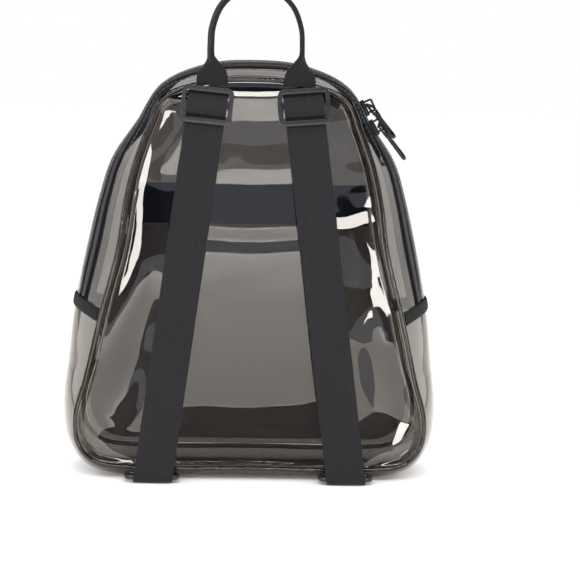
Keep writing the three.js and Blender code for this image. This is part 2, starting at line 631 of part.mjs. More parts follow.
function haulHandle() {
  const rows = handleStations();
  const centres = rows.map((row) => new THREE.Vector3(row.x, row.y, row.z));
  const points = [];
  const triangles = [];
  rows.forEach((row, i) => {
    const before = centres[Math.max(i - 1, 0)];
    const after = centres[Math.min(i + 1, rows.length - 1)];
    const along = after.clone().sub(before).normalize();
    const depthways = new THREE.Vector3(0, 1, 0);
    const sideways = depthways.clone().cross(along);
    const most = row.side < 0 ? HANDLE_LEFT_TURN : 1;
    const angle = (Math.PI / 2) * Math.min(row.turn, most);
    const wide = sideways.multiplyScalar(Math.cos(angle)).addScaledVector(depthways, Math.sin(angle));
    wide.addScaledVector(along, -wide.dot(along)).normalize();
    const thick = along.clone().cross(wide);
    for (const [a, b] of [[-1, -1], [1, -1], [1, 1], [-1, 1]]) {
      const corner = centres[i].clone().addScaledVector(wide, a * row.halfWidth);
      points.push(corner.addScaledVector(thick, b * row.halfThickness));
    }
  });
  for (let i = 0; i < rows.length - 1; i += 1) {
    for (let j = 0; j < 4; j += 1) {
      const k = (j + 1) % 4;
      triangles.push(...quad(4 * i + j, 4 * i + k, 4 * i + 4 + k, 4 * i + 4 + j));
    }
  }
  const last = 4 * (rows.length - 1);
  triangles.push(...quad(3, 2, 1, 0), ...quad(last, last + 1, last + 2, last + 3));
  return closedMesh(points, triangles);
}

addPiece(backpack, 'haul_handle', haulHandle(), HANDLE_LOOK);

// Shoulder straps with their slides, rings and ring tabs

// Route of the webbing seen from the side: out is the distance from the back panel, z the height.
// It comes from the top seam, over the slide's bar, down to the ring, back up and round the bar.
function strapRoute() {
  const over = [
    { out: 2.95, rise: 12 },
    { out: 3, rise: 9 },
    { out: 4.6, rise: 7.2 },
    { out: 7.6, rise: 5.9 },
    { out: 10.4, rise: 4.2 },
    { out: 11.45, rise: 1.4 },
    { out: 11.45, rise: -1.4 },
    { out: 10.4, rise: -4.2 },
    { out: 7.6, rise: -5.9 },
    { out: 4.6, rise: -7.2 },
    { out: 3.95, rise: -9 },
    { out: 3.95, rise: -14 },
  ];
  const back = [
    { out: 1.85, rise: -14 },
    { out: 2.2, rise: -8 },
    { out: 4, rise: -1.8 },
    { out: 4, rise: 2 },
    { out: 4.35, rise: 2.75 },
    { out: 5.1, rise: 3.1 },
    { out: 8.5, rise: 3.1 },
    { out: 9.25, rise: 2.75 },
    { out: 9.6, rise: 2 },
    { out: 9.6, rise: -1.8 },
  ];
  const atSlide = ({ out, rise }) => new THREE.Vector2(out, SLIDE_Z + rise);
  const wrap = RING_RADIUS + GAP + WEB_THICKNESS / 2;
  const turns = evenly(0, -Math.PI, 6).map((angle) => new THREE.Vector2(
    RING_OUTER.out + wrap * Math.cos(angle),
    RING_OUTER.z + wrap * Math.sin(angle),
  ));
  const front = new THREE.Vector2(over.at(-1).out, SLIDE_Z + over.at(-1).rise);
  const fall = (STRAP_JOIN_Z - turns[0].y) / (front.y - turns[0].y);
  const layers = WEB_THICKNESS + 2 * GAP;
  const join = new THREE.Vector2(lerp(turns[0].x, front.x, fall) - layers, STRAP_JOIN_Z);
  return [...over.map(atSlide), ...turns, join, ...back.map(atSlide)];
}

// Closed outline of a ribbon that follows a route in a plane.
function ribbonOutline(route, thickness) {
  const side = (sign) => route.map((point, i) => {
    const into = point.clone().sub(route[Math.max(i - 1, 0)]).normalize();
    const onward = route[Math.min(i + 1, route.length - 1)].clone().sub(point).normalize();
    const along = into.clone().add(onward).normalize();
    const reference = i === 0 ? onward : into;
    const reach = (sign * thickness) / 2 / Math.max(along.dot(reference), 0.5);
    return new THREE.Vector2(point.x - along.y * reach, point.y + along.x * reach);
  });
  return new THREE.Shape([...side(1), ...side(-1).reverse()]);
}

// Extrudes a side-view outline (out, z) across the bag, with its middle at x = 0.
function acrossBag(shape, width) {
  const geometry = plateOf(shape, width, 5);
  const axes = new THREE.Matrix4().makeBasis(
    new THREE.Vector3(0, -1, 0),
    new THREE.Vector3(0, 0, 1),
    new THREE.Vector3(-1, 0, 0),
  );
  return geometry.applyMatrix4(axes).translate(0, -HALF_DEPTH, 0);
}

function strapMiddle(z) {
  return STRAP_TOP_X + STRAP_LEAN * (SLIDE_Z - z);
}

// Leans a strap outwards on its way down and tilts its top with the slide.
function leanStrap(geometry, side) {
  const position = geometry.attributes.position;
  for (let i = 0; i < position.count; i += 1) {
    const x = position.getX(i);
    const z = position.getZ(i);
    position.setX(i, x + side * strapMiddle(z));
    position.setZ(i, z + side * x * Math.tan(SLIDE_TILT) * smoothstep(z, STRAP_LEVEL_Z, STRAP_TILT_Z));
  }
  geometry.computeVertexNormals();
  return geometry;
}

function slideFrame() {
  const { width, height, radius, slotWidth, barHalf, slotTop, thickness } = SLIDE;
  const frame = roundedRectangle(new THREE.Shape(), width / 2, height / 2, radius);
  const slotHalf = (slotTop - barHalf) / 2;
  for (const centre of [barHalf + slotHalf, -barHalf - slotHalf]) {
    frame.holes.push(roundedRectangle(new THREE.Path(), slotWidth / 2, slotHalf, 1, centre));
  }
  return plateOf(frame, thickness, 3).rotateX(Math.PI / 2);
}

function strapRing() {
  const outer = new THREE.Vector3(0, -HALF_DEPTH - RING_OUTER.out, RING_OUTER.z);
  const inner = new THREE.Vector3(0, -HALF_DEPTH - RING_INNER.out, RING_INNER.z);
  const middle = outer.clone().lerp(inner, 0.5);
  const inward = inner.clone().sub(outer).normalize();
  const halfLength = outer.distanceTo(inner) / 2;
  const outline = roundedRectangle(new THREE.Path(), RING_HALF_WIDTH, halfLength, RING_CORNER);
  const corners = outline.getPoints(3).slice(0, -1);
  const loop = corners.map((point) => (
    middle.clone().add(new THREE.Vector3(point.x, 0, 0)).addScaledVector(inward, point.y)
  ));
  const distinct = loop.filter((point, i) => point.distanceTo(loop[(i + 1) % loop.length]) > 0.05);
  const normal = new THREE.Vector3(1, 0, 0).cross(inward);
  return loopCord(distinct, normal, RING_RADIUS, RING_SIDES);
}

function ringTab() {
  const bore = RING_RADIUS + GAP;
  const loop = new THREE.Shape();
  loop.absarc(RING_INNER.out, RING_INNER.z, bore + WEB_THICKNESS, 0, 2 * Math.PI);
  const hole = new THREE.Path();
  hole.absarc(RING_INNER.out, RING_INNER.z, bore, 0, 2 * Math.PI, true);
  loop.holes.push(hole);
  return acrossBag(loop, RING_TAB_WIDTH);
}

for (const [name, side] of [['left', -1], ['right', 1]]) {
  const strap = acrossBag(ribbonOutline(strapRoute(), WEB_THICKNESS), WEB_WIDTH);
  addPiece(backpack, `strap_${name}`, leanStrap(strap, side), WEB_LOOK);

  const slide = addPiece(backpack, `slide_${name}`, slideFrame(), PLASTIC_LOOK);
  const slideOut = SLIDE_BACK + SLIDE.thickness / 2;
  slide.position.set(side * STRAP_TOP_X, -HALF_DEPTH - slideOut, SLIDE_Z);
  slide.rotation.y = -side * SLIDE_TILT;

  const ringX = side * strapMiddle(RING_OUTER.z) + RING_SHIFT[name];
  addPiece(backpack, `ring_${name}`, strapRing(), PLASTIC_LOOK).position.x = ringX;
  addPiece(backpack, `ring_tab_${name}`, ringTab(), WEB_LOOK).position.x = ringX;
}

export default backpack;
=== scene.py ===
import math

import bmesh
import bpy
import numpy as np
from mathutils import Matrix, Vector


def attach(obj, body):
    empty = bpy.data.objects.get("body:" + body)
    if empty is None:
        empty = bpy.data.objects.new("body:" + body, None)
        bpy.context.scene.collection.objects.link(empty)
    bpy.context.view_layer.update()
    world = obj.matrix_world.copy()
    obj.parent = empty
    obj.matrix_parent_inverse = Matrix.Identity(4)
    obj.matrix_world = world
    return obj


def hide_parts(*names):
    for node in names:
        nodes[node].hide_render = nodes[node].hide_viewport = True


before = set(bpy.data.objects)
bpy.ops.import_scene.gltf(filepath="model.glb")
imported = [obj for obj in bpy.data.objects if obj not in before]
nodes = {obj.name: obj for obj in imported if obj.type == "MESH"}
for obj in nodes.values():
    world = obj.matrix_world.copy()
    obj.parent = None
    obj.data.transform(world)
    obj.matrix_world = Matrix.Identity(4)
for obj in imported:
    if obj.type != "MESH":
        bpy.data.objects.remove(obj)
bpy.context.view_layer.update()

# Mini backpack of clear smoke-grey vinyl. The tables are in millimetres, +Z up, origin on the floor under
# the middle of the bag; the back, with the shoulder straps, faces -Y.
MM = 0.001

# Camera
CAMERA_PLACE = (-24.2, -1512.9, 293.8)
CAMERA_LOOKS_AT = (28.8, -21.4, 140.9)
CAMERA_ROLL = 1.11  # degrees
CAMERA_LENS = 123.5
SENSOR_WIDTH = 36

# Floor, in metres: a strip that runs towards the camera and widens behind the bag
FLOOR = [(-0.3, -1.5), (0.3, -1.5), (0.3, -0.3), (8, 0.4), (8, 24), (-8, 24), (-8, 0.4), (-0.3, -0.3)]
FLOOR_TONES = [(0.88, 0.88, 0.88, 1), (0.92, 0.92, 0.92, 1)]
FLOOR_NOISE = 3.0
FLOOR_ROUGHNESS = 0.9

# Softboxes: place, aim, width and height in metres, brightness
SOFTBOXES = {
    "top_softbox": ((0, -1.2, 1), (0, 0, 0.2), 1.2, 0.28, 13),
    "floor_softbox": ((0, -1.35, 0.45), (0, -1.46, 0), 0.6, 0.3, 15),
    "back_softbox": ((0, 0.75, 1.15), (0, 0, 0.3), 1.3, 0.4, 1.9),
    "left_front_softbox": ((-0.55, -1, 0.335), (0, 0, 0.2), 0.11, 0.55, 13),
    "right_front_softbox": ((0.55, -1, 0.12), (0, 0, 0.2), 0.16, 0.18, 14),
    "left_softbox": ((-1.3, 0.35, 0.6), (0, 0.3, 0.2), 1.3, 1.1, 2.2),
    "right_softbox": ((1.3, 0.35, 0.6), (0, 0.3, 0.2), 1.3, 1.1, 2.2),
}

# Grey studio floor that shiny surfaces mirror: all directions lower than "below", but at the left, where
# they are lower than "steep", only those nearer the middle than "narrow"
GREY_FLOOR = {"below": -0.04, "steep": -0.105, "narrow": 0.14}
TRANSPARENT_BOUNCES = 40

# Bag
HALF_DEPTH = 48
VINYL = 1.2
GAP = 0.35
PIPING_RADIUS = 1.9
PIPING_RIPPLE = {"share": 0.01, "pitch": 6}
SEAM_INSET = PIPING_RADIUS + GAP
NUDGE = 0.01
LEAST_LENGTH = 1e-6

# Right half of the outline, from the middle of the base to the middle of the top:
# seam x, seam z, bulge x, bulge z, share of the depth over which the gusset stays level
OUTLINE = [
    (0, 9, 0, 0, 0.62),
    (88, 9, 92, 0, 0.62),
    (115, 13, 122, 7, 0.5),
    (127, 25, 137, 24, 0.25),
    (130, 46, 142, 50, 0.1),
    (122.5, 76, 139, 87, 0),
    (112, 122, 133.5, 131, 0),
    (99.5, 172, 124.5, 176, 0),
    (94.5, 206, 116.5, 209, 0),
    (88.5, 233, 107, 238, 0),
    (78.5, 261, 89, 265.5, 0),
    (68, 283.5, 70.5, 294, 0),
    (35, 295.5, 37, 309.5, 0),
    (0, 298, 0, 313, 0),
]
HALF_ROWS = len(OUTLINE) - 1
LOOP_ROWS = 2 * HALF_ROWS
ZIP_END_ROW = 6

# Fineness of the meshes: numbers of points, along and across, and spacings along
SEAM_POINTS = 2601
SEAM_STRIDE = 5  # every fifth point of the seam is enough to find the nearest
PANEL_POINTS = (230, 121)
PANEL_CORNER_POINTS = 10
PANEL_TOP_ROW = HALF_ROWS - 0.06  # just short of the middle of the top
PIPING_POINTS = (640, 12)
BINDING_POINTS = (90, 9)
BAND_POINTS = (11, 61)
GUSSET_SPACING = 3
LOWER_COLUMNS = 45
BACK_COLUMNS = 14
FRONT_COLUMNS = 32
TAPE_COLUMNS = 13
POCKET_SIDE_POINTS = 400
POCKET_POINTS = (61, 81)
POCKET_TAPE_ROWS = 15
RIB_POINTS = 5
WEB_SPACING = 2.5
RING_TURN_POINTS = 9
RING_TAB_POINTS = 40
HANDLE_STEPS = 10
HANDLE_SIDES = 96

# Main zip: places across the depth, -1 at the back seam and 1 at the front seam
ZIP_CENTRE = -0.53
ZIP_SLOT_HALF = 0.15
ZIP_TAPE_HALF = 0.24
ZIP_COIL_HALF = 0.06
ZIP_COIL_CLEAR = 0.02  # outline rows between the end band and the coil
TAPE_THICKNESS = 1
JOINT_HALF = 0.005  # outline rows
BAND_HALF = 0.1  # outline rows
BAND_THICKNESS = 1.3
BAND_CROWN = {"drop": 0.45, "power": 4}
BAND_WEAVE_HALF = 5
TOOTH = {"pitch": 0.95, "shift": 0.42, "reach": 0.58, "half_width": 0.62, "half_height": 0.8}
STITCH = {"pitch": 3.4, "half_length": 1.25, "half_width": 0.26, "half_height": 0.22, "lift": 0.2}
STITCH_BESIDE_SLOT = 0.035
STITCH_END_ROWS = 0.2

# Small rounded bars: place along the bar and girth there
BAR_RINGS = [(-1, 0.3), (-0.86, 0.75), (-0.4, 1), (0.4, 1), (0.86, 0.75), (1, 0.3)]
BAR_SIDES = 6

# Rounded edges of hard pieces, angles in degrees
WELD = 1e-6  # metres
FLAT_ANGLE = 2
EDGE_ANGLE = 28
ROUND_SEGMENTS = 3
SMOOTH_LEVELS = 2

# Dents in the panels: x, z, depth, spread along x, spread along z
BACK_DENTS = [
    (-98, 70, 6, 15, 32),
    (-87, 96, 4.5, 11, 26),
    (-79, 122, 2.6, 8, 20),
    (100, 72, 4, 14, 30),
    (93, 100, 4, 10, 24),
]
FRONT_DENTS = [
    (0, 105, 2, 60, 45),
    (-35, 250, 1.5, 20, 16),
]
DENT_REACH = 110  # distance from the seam at which a dent has its full depth
DENT_EDGE_POWER = 4

# Slack folds across a panel, left of the straps, between them and right of them: height, and how steeply
# the sheet falls inwards there on its way up
BACK_FOLDS = [
    [
        (9, 0.13), (14, 0.13), (15, 0.11), (40, 0.1), (42, -0.03), (97, -0.03), (99, 0.02), (124, 0),
        (126, 0.005), (169, 0.005), (171, 0.035), (215, 0.03), (235, -0.09), (284, -0.09),
        (286, 0.3), (289, 0.3), (290, 0), (300, 0),
    ],
    [
        (9, 0.13), (14, 0.13), (15, 0.11), (56, 0.1), (58, -0.0135), (171, -0.034), (173, 0), (180, 0),
        (182, -0.06), (190, -0.06), (192, -0.004), (221, -0.004), (223, -0.062), (235, -0.062), (237, 0),
        (252, 0), (254, -0.02), (268, -0.02), (270, -0.1), (286.5, -0.1), (287.7, 0.31), (291, 0.31),
        (292, 0), (300, 0),
    ],
    [
        (9, 0.13), (14, 0.13), (15, 0.097), (40, 0.088), (42, -0.03), (97, -0.03), (99, 0.05), (140, 0.045),
        (142, 0.004), (178, 0.004), (180, 0.02), (184, 0.02), (185, 0.37), (194, 0.37), (196, 0.012),
        (212, 0.005), (214, -0.018), (231, -0.018), (233, -0.05), (263, -0.05), (265, 0.008), (286, 0.008),
        (288, 0.3), (291, 0.3), (293, 0), (300, 0),
    ],
]
FRONT_FOLDS = [[(9, 0), (222, 0), (240, 0.06), (262, -0.07), (280, 0.03), (300, 0)]] * 3
FOLD_HEIGHTS = np.linspace(0, 320, 641)
FOLD_BLEND = (-0.15, 0.45)  # where the tables meet: strap widths from the strap's middle
FOLD_REACH = 4  # distance from the seam's inner edge at which a fold has its full depth

# The folds sway up and down across the panel, with a ripple that grows towards the sides
FOLD_SWAY = {"height": 2, "pitch": 150, "start": 1, "tilt": -0.06}
FOLD_RIPPLE = {"height": 1.1, "pitch": 41, "full_at_x": 62, "turn": 19}

# How the panel rolls in to its side seams, the heights between which the roll fades out at the top, gains
# its full size at the left and shrinks at the right, and the shares that are taken off there
TUCK = {"slope": 0.26, "reach": 18, "soft": 13}
TUCK_WAVE = {"share": 0.15, "length": 17, "drift": 1.3, "drift_length": 41}
TUCK_TOP = (272, 290)
TUCK_LOW_LEFT = (115, 165)
TUCK_HIGH_RIGHT = (190, 220)
TUCK_CALM_LEFT = 0.4
TUCK_CALM_RIGHT = 0.5

# Gathers along the seams: their size, the wobble of their pitch (size, length), and the heights on a panel
# or the outline rows on the gusset between which they set in or end
PUCKER = {"height": 0.16, "pitch": 29, "reach": 8, "edge": 3}
PUCKER_WOBBLE = [(1.7, 31), (0.9, 13.7)]
PUCKER_START_Z = (20, 60)
PUCKER_END_Z = (265, 280)
PUCKER_START_ROWS = (2.2, 3.4)
PUCKER_ZIP_END_ROWS = (0.15, 0.5)

# Front pocket
POCKET_BOTTOM = 15
POCKET_ZIP_BOTTOM = 184
POCKET_TOP = 217
POCKET_BULGE = 15
POCKET_INSET = 5
POCKET_EDGE_POWER = 4
POCKET_RISE_POWER = 0.6
POCKET_LEVEL_POWER = 1.3
POCKET_WEAVE_HALF = 100
POCKET_COIL_HALF = 2.5
POCKET_COIL_REACH = 0.94
POCKET_COIL_LIFT = 0.7
POCKET_TOOTH_HALF_HEIGHT = 0.75

# Webbing and its hardware
WEB_WIDTH = 29
WEB_THICKNESS = 1.4
WEB_RIB = {"pitch": 2.05, "height": 0.06}
WEB_EDGE = {"thinner": 0.5, "power": 14}
STRAP_LEAN = 0.13
STRAP_TOP_X = 35.5
STRAP_JOIN_Z = 30
STRAP_LEVEL_Z = 40
STRAP_TILT_Z = 240
SLIDE_Z = 279
SLIDE_TILT = math.radians(5)
SLIDE_ROUND = 0.9
SLIDER_ROUND = 0.45
PULL_ROUND = 0.4
POCKET_SLIDER_ROUND = 0.5
RING_RADIUS = 2.2
RING_OUTER = (14.5, 4.6)  # distance from the back panel, height
RING_INNER = (5.2, 5.5)
RING_SHIFT = {"left": -1.2, "right": 0}
RING_TAB_WIDTH = 27

# Strap at the slide: distance from the back panel, height over the slide's middle
STRAP_OVER_SLIDE = [
    (2.95, 12), (3, 9), (4.6, 7.2), (7.6, 5.9), (10.4, 4.2), (11.45, 1.4),
    (11.45, -1.4), (10.4, -4.2), (7.6, -5.9), (4.6, -7.2), (3.95, -9), (3.95, -14),
]
STRAP_ROUND_BAR = [
    (1.85, -14), (2.2, -8), (4, -1.8), (4, 2), (4.35, 2.75),
    (5.1, 3.1), (8.5, 3.1), (9.25, 2.75), (9.6, 2), (9.6, -1.8),
]

# Right half of the haul handle: x, y, z, half width, half thickness, turn of the webbing from flat (0) to
# on edge (1)
HANDLE_ROWS = np.array([
    (32, -51.55, 293.4, 11.5, 1.2, 0),
    (32, -51.5, 298, 11.6, 1.2, 0),
    (32.2, -50.6, 303.5, 10.2, 1.4, 0.08),
    (32.8, -49, 309.5, 6.2, 2.2, 0.45),
    (33.3, -48, 315, 5.2, 2, 0.9),
    (33.4, -47.5, 323, 6, 1.8, 1),
    (32.4, -47.5, 336, 6, 1.8, 1),
    (26.5, -47.5, 351, 6, 1.8, 1),
    (15, -47.5, 361.5, 6, 1.8, 1),
    (0, -47.5, 365.5, 6, 1.8, 1),
])
HANDLE_LEFT_TURN = 0.86
HANDLE_CORNERS = {"across": 0.6, "proud": 0.25}  # powers that square the section

# Binding inside the top edge of the back panel
BINDING_ROWS = 1.9
BINDING_INSET = 2.5
BINDING_WIDTH = 7
BINDING_THICKNESS = 1

# Colours, linear
SMOKE = (0.535, 0.517, 0.5, 1)
SMOKE_SLANTED = (0.43, 0.41, 0.39, 1)
# The gussets are the same smoke vinyl as the panels; their lighter tints, straight and slanted, are painted
# light
GUSSET_PAINTED_LIGHT_SMOKE = (0.61, 0.59, 0.575, 1)
GUSSET_PAINTED_LIGHT_SLANTED = (0.6, 0.58, 0.56, 1)
SMOKE_GLOSS = (1, 0.965, 0.92, 1)
PIPING_SMOKE = (0.3, 0.26, 0.23, 1)
PIPING_SLANTED = (0.05, 0.042, 0.037, 1)
STRAP_COLOUR = (0.0124, 0.0121, 0.0138)
HANDLE_COLOUR = (0.0108, 0.0092, 0.009)
TAPE_COLOUR = (0.004, 0.0039, 0.004)
COIL_COLOUR = (0.014, 0.014, 0.0155)
PLASTIC_COLOUR = (0.0108, 0.0108, 0.0114)
METAL_COLOUR = (0.014, 0.014, 0.0154)
THREAD_COLOUR = (0.06, 0.058, 0.057)
STUDIO_LIGHT = (1.13, 1.13, 1.14, 1)
STUDIO_DARK = (0.08, 0.092, 0.13, 1)
STUDIO_FLOOR = (0.62, 0.7, 0.86, 1)
STUDIO_SEEN = (1, 1, 1, 1)

# Finishes: scales of the noises, shares, roughness, and bumps in metres
VINYL_MIRROR = {"straight": 0.052, "slanted": 0.92, "power": 5.0}
VINYL_TINT = {"power": 2.5, "cloud_scale": 14.0, "clouds": 0.1}
VINYL_WAVES = {"scale": 24.0, "detail": 1.0, "bump": 0.35, "height": 0.0012}
VINYL_ROUGHNESS = {"scale": 30.0, "detail": 2.0, "low": 0.012, "high": 0.03}
WEB_FINISH = {
    "pick": 1.1, "skew": 1.4, "weave": 0.5, "fuzz_scale": 900.0, "fuzz_detail": 4.0, "fuzz_tone": 0.75,
    "rib_tone": 0.25, "dark": 0.5, "pale": 1.6, "wear_scale": 30.0, "low": 0.62, "high": 0.85,
    "fuzz_height": 0.3, "bump": 0.6, "height": 0.0003, "specular": 0.1,
}
TAPE_FINISH = {
    "zigzag": 1.6, "pick": 0.9, "fuzz_scale": 1200.0, "fuzz_tone": 0.4, "weave_tone": 0.6, "dark": 0.5,
    "pale": 1.7, "low": 0.55, "high": 0.8, "bump": 0.5, "height": 0.0002, "specular": 0.2,
}
HARD_FINISH = {
    "edge_from": 0.5, "edge_to": 0.6, "wear": 0.6, "speckle_detail": 4.0, "speckle": 0.35, "dark": 0.8,
    "pale": 2.2, "gloss_coarser": 9, "gloss_detail": 2.0, "bump": 0.12, "height": 0.0002,
}


# Shader nodes

def new_material(name):
    material = bpy.data.materials.new(name)
    material.use_nodes = True
    material.node_tree.nodes.clear()
    return material, material.node_tree


def put(tree, kind, values=None, links=None, **settings):
    node = tree.nodes.new(kind)
    for key, value in settings.items():
        setattr(node, key, value)
    for socket, value in (values or {}).items():
        node.inputs[socket].default_value = value
    for socket, source in (links or {}).items():
        tree.links.new(source, node.inputs[socket])
    return node


def calculate(tree, operation, *terms):
    node = put(tree, "ShaderNodeMath", operation=operation)
    for i, term in enumerate(terms):
        if isinstance(term, (int, float)):
            node.inputs[i].default_value = term
        else:
            tree.links.new(term, node.inputs[i])
    return node.outputs[0]


def noise(tree, place, scale, detail=3.0):
    values = {"Scale": scale, "Detail": detail}
    return put(tree, "ShaderNodeTexNoise", values, {"Vector": place}).outputs["Fac"]


def between(tree, source, finish):
    values = {"To Min": finish["low"], "To Max": finish["high"]}
    return put(tree, "ShaderNodeMapRange", values, {"Value": source}).outputs[0]


# Mix of two colours. The numbers are the node's sockets for the factor, the two colours and the result.
def mixed_colour(tree, factor, first, second):
    node = put(tree, "ShaderNodeMix", data_type="RGBA")
    for socket, value in ((0, factor), (6, first), (7, second)):
        if isinstance(value, bpy.types.NodeSocket):
            tree.links.new(value, node.inputs[socket])
        else:
            node.inputs[socket].default_value = value
    return node.outputs[2]


def shades(tree, tone, colour, finish):
    dark, pale = [
        tuple(channel * finish[end] for channel in colour) + (1,)
        for end in ("dark", "pale")
    ]
    return mixed_colour(tree, tone, dark, pale)


def bumped(tree, height, finish):
    values = {"Strength": finish["bump"], "Distance": finish["height"]}
    return put(tree, "ShaderNodeBump", values, {"Height": height}).outputs["Normal"]


# A wave from 0 to 1.
def wave_of(tree, operation, angle):
    return calculate(tree, "MULTIPLY_ADD", calculate(tree, operation, angle), 0.5, 0.5)


def finish_material(tree, shader):
    put(tree, "ShaderNodeOutputMaterial", links={"Surface": shader.outputs[0]})


# Clear sheet: what is behind shows through a tint and under a gloss. Both are stronger where the sheet is
# seen at a slant.
def clear_vinyl(name, straight, slanted):
    material, tree = new_material(name)
    place = put(tree, "ShaderNodeTexCoord").outputs["Object"]
    facing = put(tree, "ShaderNodeLayerWeight", {"Blend": 0.5}).outputs["Facing"]
    grazing = calculate(tree, "POWER", facing, VINYL_MIRROR["power"])
    mirror = calculate(tree, "MULTIPLY_ADD", grazing, VINYL_MIRROR["slanted"], VINYL_MIRROR["straight"])
    slant = calculate(tree, "POWER", facing, VINYL_TINT["power"])
    clouds = noise(tree, place, VINYL_TINT["cloud_scale"])
    depth = calculate(tree, "MULTIPLY_ADD", clouds, VINYL_TINT["clouds"], slant)
    waves = noise(tree, place, VINYL_WAVES["scale"], VINYL_WAVES["detail"])
    smudges = noise(tree, place, VINYL_ROUGHNESS["scale"], VINYL_ROUGHNESS["detail"])
    links = {
        "Roughness": between(tree, smudges, VINYL_ROUGHNESS),
        "Normal": bumped(tree, waves, VINYL_WAVES),
    }
    gloss = put(tree, "ShaderNodeBsdfGlossy", {"Color": SMOKE_GLOSS}, links)
    tint = mixed_colour(tree, depth, straight, slanted)
    see = put(tree, "ShaderNodeBsdfTransparent", links={"Color": tint})
    sheet = put(tree, "ShaderNodeMixShader", links={0: mirror, 1: see.outputs[0], 2: gloss.outputs[0]})
    finish_material(tree, sheet)
    return material


# Webbing: picks of the weave across the ribs, in millimetres of its own width and length.
def webbing(name, colour, sheen):
    material, tree = new_material(name)
    place = put(tree, "ShaderNodeTexCoord")
    split = put(tree, "ShaderNodeSeparateXYZ", links={0: place.outputs["UV"]})
    across = calculate(tree, "MULTIPLY", split.outputs[0], 2 * math.pi / WEB_RIB["pitch"])
    along = calculate(tree, "MULTIPLY", split.outputs[1], 2 * math.pi / WEB_FINISH["pick"])
    slope = calculate(tree, "MULTIPLY_ADD", calculate(tree, "COSINE", across), WEB_FINISH["skew"], along)
    weave = wave_of(tree, "SINE", slope)
    rib = wave_of(tree, "COSINE", across)
    height = calculate(tree, "MULTIPLY_ADD", weave, WEB_FINISH["weave"], rib)
    fuzz = noise(tree, place.outputs["Object"], WEB_FINISH["fuzz_scale"], WEB_FINISH["fuzz_detail"])
    rib_tone = calculate(tree, "MULTIPLY", height, WEB_FINISH["rib_tone"])
    tone = calculate(tree, "MULTIPLY_ADD", fuzz, WEB_FINISH["fuzz_tone"], rib_tone)
    worn = noise(tree, place.outputs["Object"], WEB_FINISH["wear_scale"])
    relief = calculate(tree, "MULTIPLY_ADD", fuzz, WEB_FINISH["fuzz_height"], height)
    links = {
        "Base Color": shades(tree, tone, colour, WEB_FINISH),
        "Roughness": between(tree, worn, WEB_FINISH),
        "Normal": bumped(tree, relief, WEB_FINISH),
    }
    values = {"Sheen Weight": sheen, "Specular IOR Level": WEB_FINISH["specular"]}
    finish_material(tree, put(tree, "ShaderNodeBsdfPrincipled", values, links))
    return material


# Woven zip tape: a fine herringbone.
def woven_tape(name, colour):
    material, tree = new_material(name)
    place = put(tree, "ShaderNodeTexCoord")
    split = put(tree, "ShaderNodeSeparateXYZ", links={0: place.outputs["UV"]})
    zigzag = calculate(tree, "PINGPONG", split.outputs[0], TAPE_FINISH["zigzag"])
    run = calculate(tree, "ADD", split.outputs[1], zigzag)
    weave = wave_of(tree, "SINE", calculate(tree, "MULTIPLY", run, 2 * math.pi / TAPE_FINISH["pick"]))
    fuzz = noise(tree, place.outputs["Object"], TAPE_FINISH["fuzz_scale"])
    weave_tone = calculate(tree, "MULTIPLY", weave, TAPE_FINISH["weave_tone"])
    tone = calculate(tree, "MULTIPLY_ADD", fuzz, TAPE_FINISH["fuzz_tone"], weave_tone)
    links = {
        "Base Color": shades(tree, tone, colour, TAPE_FINISH),
        "Roughness": between(tree, fuzz, TAPE_FINISH),
        "Normal": bumped(tree, weave, TAPE_FINISH),
    }
    values = {"Specular IOR Level": TAPE_FINISH["specular"]}
    finish_material(tree, put(tree, "ShaderNodeBsdfPrincipled", values, links))
    return material


# Hard finish with a fine grain, wear on its edges and slightly uneven gloss.
def hard_finish(name, colour, grain, low, high, metal=0.0):
    material, tree = new_material(name)
    place = put(tree, "ShaderNodeTexCoord").outputs["Object"]
    edges = put(tree, "ShaderNodeNewGeometry").outputs["Pointiness"]
    limits = {
        "From Min": HARD_FINISH["edge_from"],
        "From Max": HARD_FINISH["edge_to"],
        "To Min": 0.0,
        "To Max": HARD_FINISH["wear"],
    }
    worn = put(tree, "ShaderNodeMapRange", limits, {"Value": edges}).outputs[0]
    speckle = noise(tree, place, grain, HARD_FINISH["speckle_detail"])
    tone = calculate(tree, "MULTIPLY_ADD", speckle, HARD_FINISH["speckle"], worn)
    gloss = noise(tree, place, grain / HARD_FINISH["gloss_coarser"], HARD_FINISH["gloss_detail"])
    links = {
        "Base Color": shades(tree, tone, colour, HARD_FINISH),
        "Roughness": between(tree, gloss, {"low": low, "high": high}),
        "Normal": bumped(tree, speckle, HARD_FINISH),
    }
    finish_material(tree, put(tree, "ShaderNodeBsdfPrincipled", {"Metallic": metal}, links))
    return material


LOOKS = {
    "smoke_vinyl": clear_vinyl("smoke_vinyl_look", SMOKE, SMOKE_SLANTED),
    # Lighter copy of the smoke vinyl for the gussets: painted light
    "gusset_vinyl": clear_vinyl("gusset_vinyl_painted_light_look", GUSSET_PAINTED_LIGHT_SMOKE, GUSSET_PAINTED_LIGHT_SLANTED),
    "vinyl_piping": clear_vinyl("vinyl_piping_look", PIPING_SMOKE, PIPING_SLANTED),
    "strap_webbing": webbing("strap_webbing_look", STRAP_COLOUR, sheen=0.06),
    "handle_webbing": webbing("handle_webbing_look", HANDLE_COLOUR, sheen=0.05),
    "black_tape": woven_tape("black_tape_look", TAPE_COLOUR),
    "zip_coil": hard_finish("zip_coil_look", COIL_COLOUR, grain=900.0, low=0.15, high=0.3),
    "grey_plastic": hard_finish("grey_plastic_look", PLASTIC_COLOUR, grain=700.0, low=0.22, high=0.34),
    "dark_metal": hard_finish("dark_metal_look", METAL_COLOUR, grain=800.0, low=0.22, high=0.4, metal=0.65),
    "thread": hard_finish("thread_look", THREAD_COLOUR, grain=1500.0, low=0.3, high=0.5),
}


# Meshes

